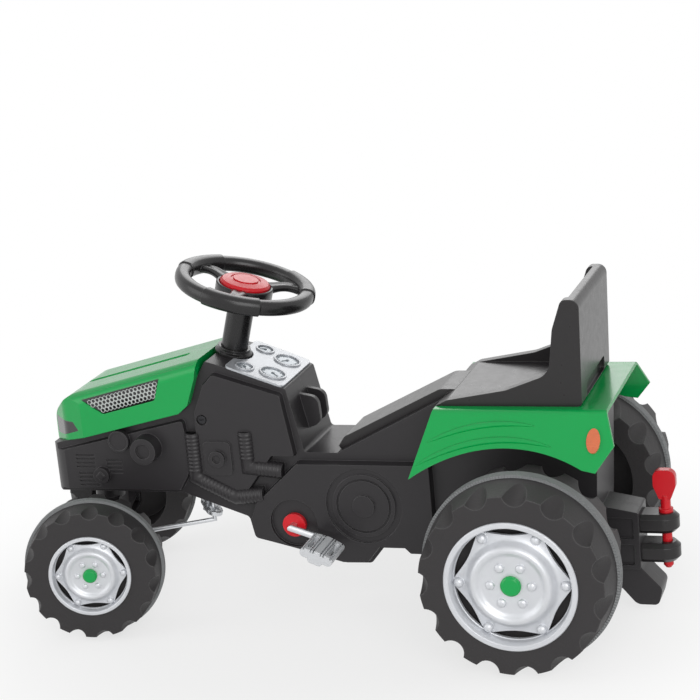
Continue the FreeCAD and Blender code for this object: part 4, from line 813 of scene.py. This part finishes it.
def honeycomb(shape, side):
    """Raised net of six-sided cells in rows along the bonnet's slope, welded where they meet."""
    cell = sizes().cell / MM
    field = scaled(GRILLE_CORNERS, NET_SHARE)
    cosine, sine = math.cos(GRILLE_FALL), math.sin(GRILLE_FALL)
    for row in range(-NET_ROWS, NET_ROWS + 1):
        for column in range(-NET_COLUMNS, NET_COLUMNS + 1):
            along = cell * (column + 0.5 * (row % 2))
            up = cell * row * math.sqrt(0.75)
            x = GRILLE_MIDDLE[0] + along * cosine + up * sine
            z = GRILLE_MIDDLE[1] - along * sine + up * cosine
            if inside((x, z), field):
                net_cell(shape, x, z, side, cell)
    walls = {}
    for face in shape.faces:
        walls.setdefault(tuple(round(c / MM, 1) for c in face.calc_center_median()), []).append(face)
    shared = [face for faces in walls.values() if len(faces) > 1 for face in faces]
    bmesh.ops.delete(shape, geom=shared, context="FACES_ONLY")
    bmesh.ops.remove_doubles(shape, verts=shape.verts, dist=WELD * MM)


def grilles(net, shade_sheet):
    """Pale honeycomb over a dark sheet of painted shade in each side recess, in place of the CAD insert."""
    for side, half in SIDES:
        shape = bmesh.new()
        honeycomb(shape, side)
        lattice = add_piece("grille_net_" + half, shape, "chassis", [net])
        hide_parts("grille_" + half)
        # Dark sheet behind the net: painted shade seen through its holes
        shape = bmesh.new()
        rings = []
        for level, share in SHADE_SHEET_RINGS:
            rings.append([at(x, side * level, z) for x, z in scaled(GRILLE_CORNERS, share)])
        skin(shape, rings)
        add_piece("grille_painted_shade_" + half, shape, "chassis", [shade_sheet])


def hose_stations(path):
    """Sections along a bent hose as middle, direction, stretch and radius; its corners are mitred."""
    pitch = sizes().hose / MM
    runs = [(b - a).normalized() for a, b in zip(path, path[1:])]
    last = len(runs) - 1
    stations = []
    for k, point in enumerate(path):
        after = runs[min(k, last)]
        mitre = (runs[max(k - 1, 0)] + after).normalized()
        stations.append((point, mitre, 1 / max(mitre.dot(after), MITRE_LIMIT), HOSE_RADIUS))
        if k > last:
            break
        ends = ((max(k - 1, 0), k), (k, min(k + 1, last)))
        bends = [HOSE_RADIUS * math.tan(runs[a].angle(runs[b]) / 2) for a, b in ends]
        straight = (path[k + 1] - point).length - sum(bends)
        count = int((straight - BARE_LENGTH) / pitch)
        first = bends[0] + (straight - count * pitch) / 2
        for step in range(RING_STEPS * count + 1):
            along = first + step * pitch / RING_STEPS
            swell = RING_SWELL * math.sin(math.pi * step / RING_STEPS) ** 2
            stations.append((point + along * runs[k], runs[k], 1.0, HOSE_RADIUS + swell))
    return stations


def hose_skin(shape, points, side):
    """Ringed hose over a bent run of the body's own hose."""
    out = Vector((0, 1, 0))
    turns = [2 * math.pi * k / HOSE_SIDES for k in range(HOSE_SIDES)]
    rows = []
    for centre, way, stretch, reach in hose_stations([Vector((x, side * HOSE_LEVEL, z)) for x, z in points]):
        across = way.cross(out).normalized() * stretch
        rows.append([at(*(centre + reach * (math.cos(t) * across + math.sin(t) * out))) for t in turns])
    skin(shape, rows)


def hoses(material):
    """Ringed skins over the two hoses moulded into each side."""
    for side, name in SIDES:
        shape = bmesh.new()
        for points in HOSE_RUNS:
            hose_skin(shape, points, side)
        add_piece("hose_rings_" + name, shape, "chassis", [material])


def fender_y(height):
    """Outer face of the sloping fender side at a height in millimetres."""
    return FENDER_EDGE_Y + (FENDER_EDGE_Z - height) / FENDER_DROP * FENDER_RUN


def bead_row(side, normal, reach, turn, half, height):
    """Half-round section of a bead at an angle round the wheel arch."""
    x = ARCH_MIDDLE[0] + reach * math.cos(turn)
    z = ARCH_MIDDLE[1] + reach * math.sin(turn)
    centre = Vector((x, side * fender_y(z), z))
    out = Vector((math.cos(turn), 0, math.sin(turn)))
    out = (out - out.dot(normal) * normal).normalized()
    row = []
    for k in range(BEAD_SIDES + 1):
        angle = math.pi * k / BEAD_SIDES
        rise = height * math.sin(angle) - BEAD_SINK
        row.append(at(*(centre + out * half * math.cos(angle) + normal * rise)))
    return row


def fender_beads(material):
    """Raised lines that follow the wheel arch on each fender side and fade out at their ends."""
    slope = math.atan2(FENDER_RUN, FENDER_DROP)
    for side, name in SIDES:
        shape = bmesh.new()
        normal = Vector((0, side * math.cos(slope), math.sin(slope)))
        for reach, start, end, half in BEADS:
            rows = []
            for step in range(BEAD_STEPS + 1):
                run = step / BEAD_STEPS
                turn = math.radians(start + (end - start) * run)
                fade = math.sin(math.pi * min(max(run, BEAD_TIP), 1 - BEAD_TIP)) ** 0.5
                rows.append(bead_row(side, normal, reach, turn, half * fade, sizes().bead / MM * fade))
            skin(shape, rows)
        add_piece("fender_beads_" + name, shape, "chassis", [material])


class TRACTOR_OT_body(bpy.types.Operator):
    """Finish the body halves, bonnet and lamps; add hose rings, fender beads, and grille nets over dark
    sheets of painted shade
    """

    bl_idname = "tractor.body"
    bl_label = "Body and bonnet"

    def execute(self, context):
        shell = body_plastic()
        green = green_plastic()
        lamp = lamp_plastic()
        net = grille_plastic()
        dress("body_charcoal", shell)
        dress("green_gloss", green)
        dress("grille_grey", net)
        dress("lamp_dark", lamp)
        hoses(shell)
        fender_beads(green)
        # The lamp's dark plastic also covers the sheets of painted shade behind the grille nets
        grilles(net, lamp)
        return {"FINISHED"}


class TRACTOR_OT_seat(bpy.types.Operator):
    """Finish the seat, hitch and reflectors"""

    bl_idname = "tractor.seat"
    bl_label = "Seat and hitch"

    def execute(self, context):
        dress("black_gloss", black_plastic())
        dress("reflector_orange", reflector_plastic())
        return {"FINISHED"}


class TRACTOR_OT_steering(bpy.types.Operator):
    """Build the steering wheel, horn strip and dials; finish the column, red pieces and panel"""

    bl_idname = "tractor.steering"
    bl_label = "Steering and panel"

    def execute(self, context):
        grip = steering_plastic()
        dress("wheel_black", grip)
        dress("red_gloss", red_plastic())
        dress("panel_silver", panel_plastic())
        steering_form(grip)
        horn_leaf(plated_steel())
        dial_faces(dial_card(), dial_ink())
        return {"FINISHED"}


class TRACTOR_OT_wheels(bpy.types.Operator):
    """Build the rims; finish tyres and tread bands"""

    bl_idname = "tractor.wheels"
    bl_label = "Wheels"

    def execute(self, context):
        dress("tyre_grey", tyre_plastic())
        silver = rim_plastic()
        dress("rim_silver", silver)
        rims(silver)
        for name, owner in SLOT_OF.items():
            if owner == "tread_grey":
                paint(name, tread_rubber(name))
        return {"FINISHED"}


class TRACTOR_OT_drive(bpy.types.Operator):
    """Finish rods, chain, bushes, screws and pedals"""

    bl_idname = "tractor.drive"
    bl_label = "Drive and pedals"

    def execute(self, context):
        dress("zinc_steel", plated_steel())
        dress("sprocket_steel", stamped_steel())
        dress("pedal_grey", pedal_plastic())
        dress("bearing_white", bush_plastic())
        paint("case_screws", black_screw())
        return {"FINISHED"}


def studio_floor(material):
    """Wide flat floor under the part."""
    shape = bmesh.new()
    low, high = CAD_BOX
    centre = (low + high) / 2
    corners = [(-FLOOR_REACH, -FLOOR_REACH), (FLOOR_REACH, -FLOOR_REACH), (FLOOR_REACH, FLOOR_REACH),
               (-FLOOR_REACH, FLOOR_REACH)]
    shape.faces.new([shape.verts.new((centre.x + x, centre.y + y, low.z)) for x, y in corners])
    link_mesh("studio_floor", shape, [material])


def background_rays(tree):
    """One for rays that show the background: straight to the camera, mirrored or through glass."""
    rays = add(tree, "ShaderNodeLightPath")
    share = rays.outputs["Is Camera Ray"]
    for kind in ("Is Glossy Ray", "Is Transmission Ray"):
        share = reckon(tree, "MAXIMUM", share, rays.outputs[kind])
    return share


def floor_paint():
    # Matt white paper: takes the part's shadow, and shows as plain white further out
    material, tree, shader = start_material("matt_paper", Roughness=0.9)
    vector = place(tree)
    vary_colour(tree, shader, vector, colours().floor, patch=0.5, amount=0.01)
    distance = add(tree, "ShaderNodeVectorMath", {0: vector}, operation="LENGTH")
    far = add(tree, "ShaderNodeMapRange", {"Value": distance.outputs["Value"], "From Min": FLOOR_FADE[0],
                                           "From Max": FLOOR_FADE[1], "To Min": FLOOR_GLOW},
              interpolation_type="SMOOTHSTEP")
    shown = reckon(tree, "MULTIPLY", far.outputs["Result"], background_rays(tree))
    white = add(tree, "ShaderNodeEmission", {"Color": WHITE, "Strength": 1.0})
    blend = add(tree, "ShaderNodeMixShader", {"Fac": shown, 1: shader.outputs["BSDF"],
                                              2: white.outputs["Emission"]})
    tree.links.new(blend.outputs["Shader"], tree.nodes["Material Output"].inputs["Surface"])
    return material


def soft_light(name, place_at, power, width):
    """Square soft light turned to the part."""
    data = bpy.data.lights.new(name, "AREA")
    data.energy = power
    data.size = width
    lamp = bpy.data.objects.new(name, data)
    lamp.location = place_at
    lamp.rotation_mode = "QUATERNION"
    lamp.rotation_quaternion = (Vector(AIM) - Vector(place_at)).to_track_quat("-Z", "Y")
    bpy.context.scene.collection.objects.link(lamp)


def studio_world():
    """Pale surroundings that show white to the camera and in reflections."""
    world = bpy.data.worlds.new("studio")
    bpy.context.scene.world = world
    world.use_nodes = True
    tree = world.node_tree
    backdrop = tree.nodes["Background"]
    backdrop.inputs["Color"].default_value = WHITE
    level = add(tree, "ShaderNodeMapRange", {"Value": background_rays(tree), "To Min": AMBIENT,
                                             "To Max": 1.0})
    tree.links.new(level.outputs["Result"], backdrop.inputs["Strength"])


def photo_camera():
    """Camera at the photograph's angle: low three-quarter rear view of the left side, slightly rolled."""
    ahead = math.cos(PHOTO_PITCH)
    look = Vector((math.sin(PHOTO_YAW) * ahead, -math.cos(PHOTO_YAW) * ahead, -math.sin(PHOTO_PITCH)))
    level_right = look.cross(Vector((0, 0, 1))).normalized()
    level_up = level_right.cross(look)
    right = math.cos(PHOTO_ROLL) * level_right + math.sin(PHOTO_ROLL) * level_up
    up = math.cos(PHOTO_ROLL) * level_up - math.sin(PHOTO_ROLL) * level_right
    data = bpy.data.cameras.new("photo_camera")
    data.lens = sizes().lens
    data.clip_end = PHOTO_CLIP
    camera = bpy.data.objects.new("photo_camera", data)
    turn = Matrix((right, up, -look)).transposed()
    camera.matrix_world = Matrix.Translation(PHOTO_PLACE) @ turn.to_4x4()
    bpy.context.scene.collection.objects.link(camera)
    bpy.context.scene.camera = camera


class TRACTOR_OT_stage(bpy.types.Operator):
    """Build the floor, the lights and the camera"""

    bl_idname = "tractor.stage"
    bl_label = "Studio stage"

    def execute(self, context):
        context.scene.view_settings.view_transform = "Standard"
        studio_floor(floor_paint())
        studio_world()
        for name, place_at, power, width in LIGHTS:
            soft_light(name, place_at, power, width)
        photo_camera()
        return {"FINISHED"}


class TRACTOR_PT_panel(bpy.types.Panel):
    """Sidebar panel with one button for each group"""

    bl_idname = "TRACTOR_PT_panel"
    bl_label = "Pedal tractor"
    bl_space_type = "VIEW_3D"
    bl_region_type = "UI"
    bl_category = "Tractor"

    def draw(self, context):
        for operator in OPERATORS:
            self.layout.operator(operator.bl_idname)


OPERATORS = (TRACTOR_OT_body, TRACTOR_OT_seat, TRACTOR_OT_steering, TRACTOR_OT_wheels, TRACTOR_OT_drive,
             TRACTOR_OT_stage)
CLASSES = (TractorColours, TractorSizes) + OPERATORS + (TRACTOR_PT_panel,)


def register():
    for item in CLASSES:
        bpy.utils.register_class(item)
    bpy.types.Scene.tractor_colours = bpy.props.PointerProperty(type=TractorColours)
    bpy.types.Scene.tractor_sizes = bpy.props.PointerProperty(type=TractorSizes)


def unregister():
    del bpy.types.Scene.tractor_sizes
    del bpy.types.Scene.tractor_colours
    for item in reversed(CLASSES):
        bpy.utils.unregister_class(item)


def main():
    register()
    bpy.ops.tractor.body()
    bpy.ops.tractor.seat()
    bpy.ops.tractor.steering()
    bpy.ops.tractor.wheels()
    bpy.ops.tractor.drive()
    bpy.ops.tractor.stage()


if __name__ == "__main__":
    main()
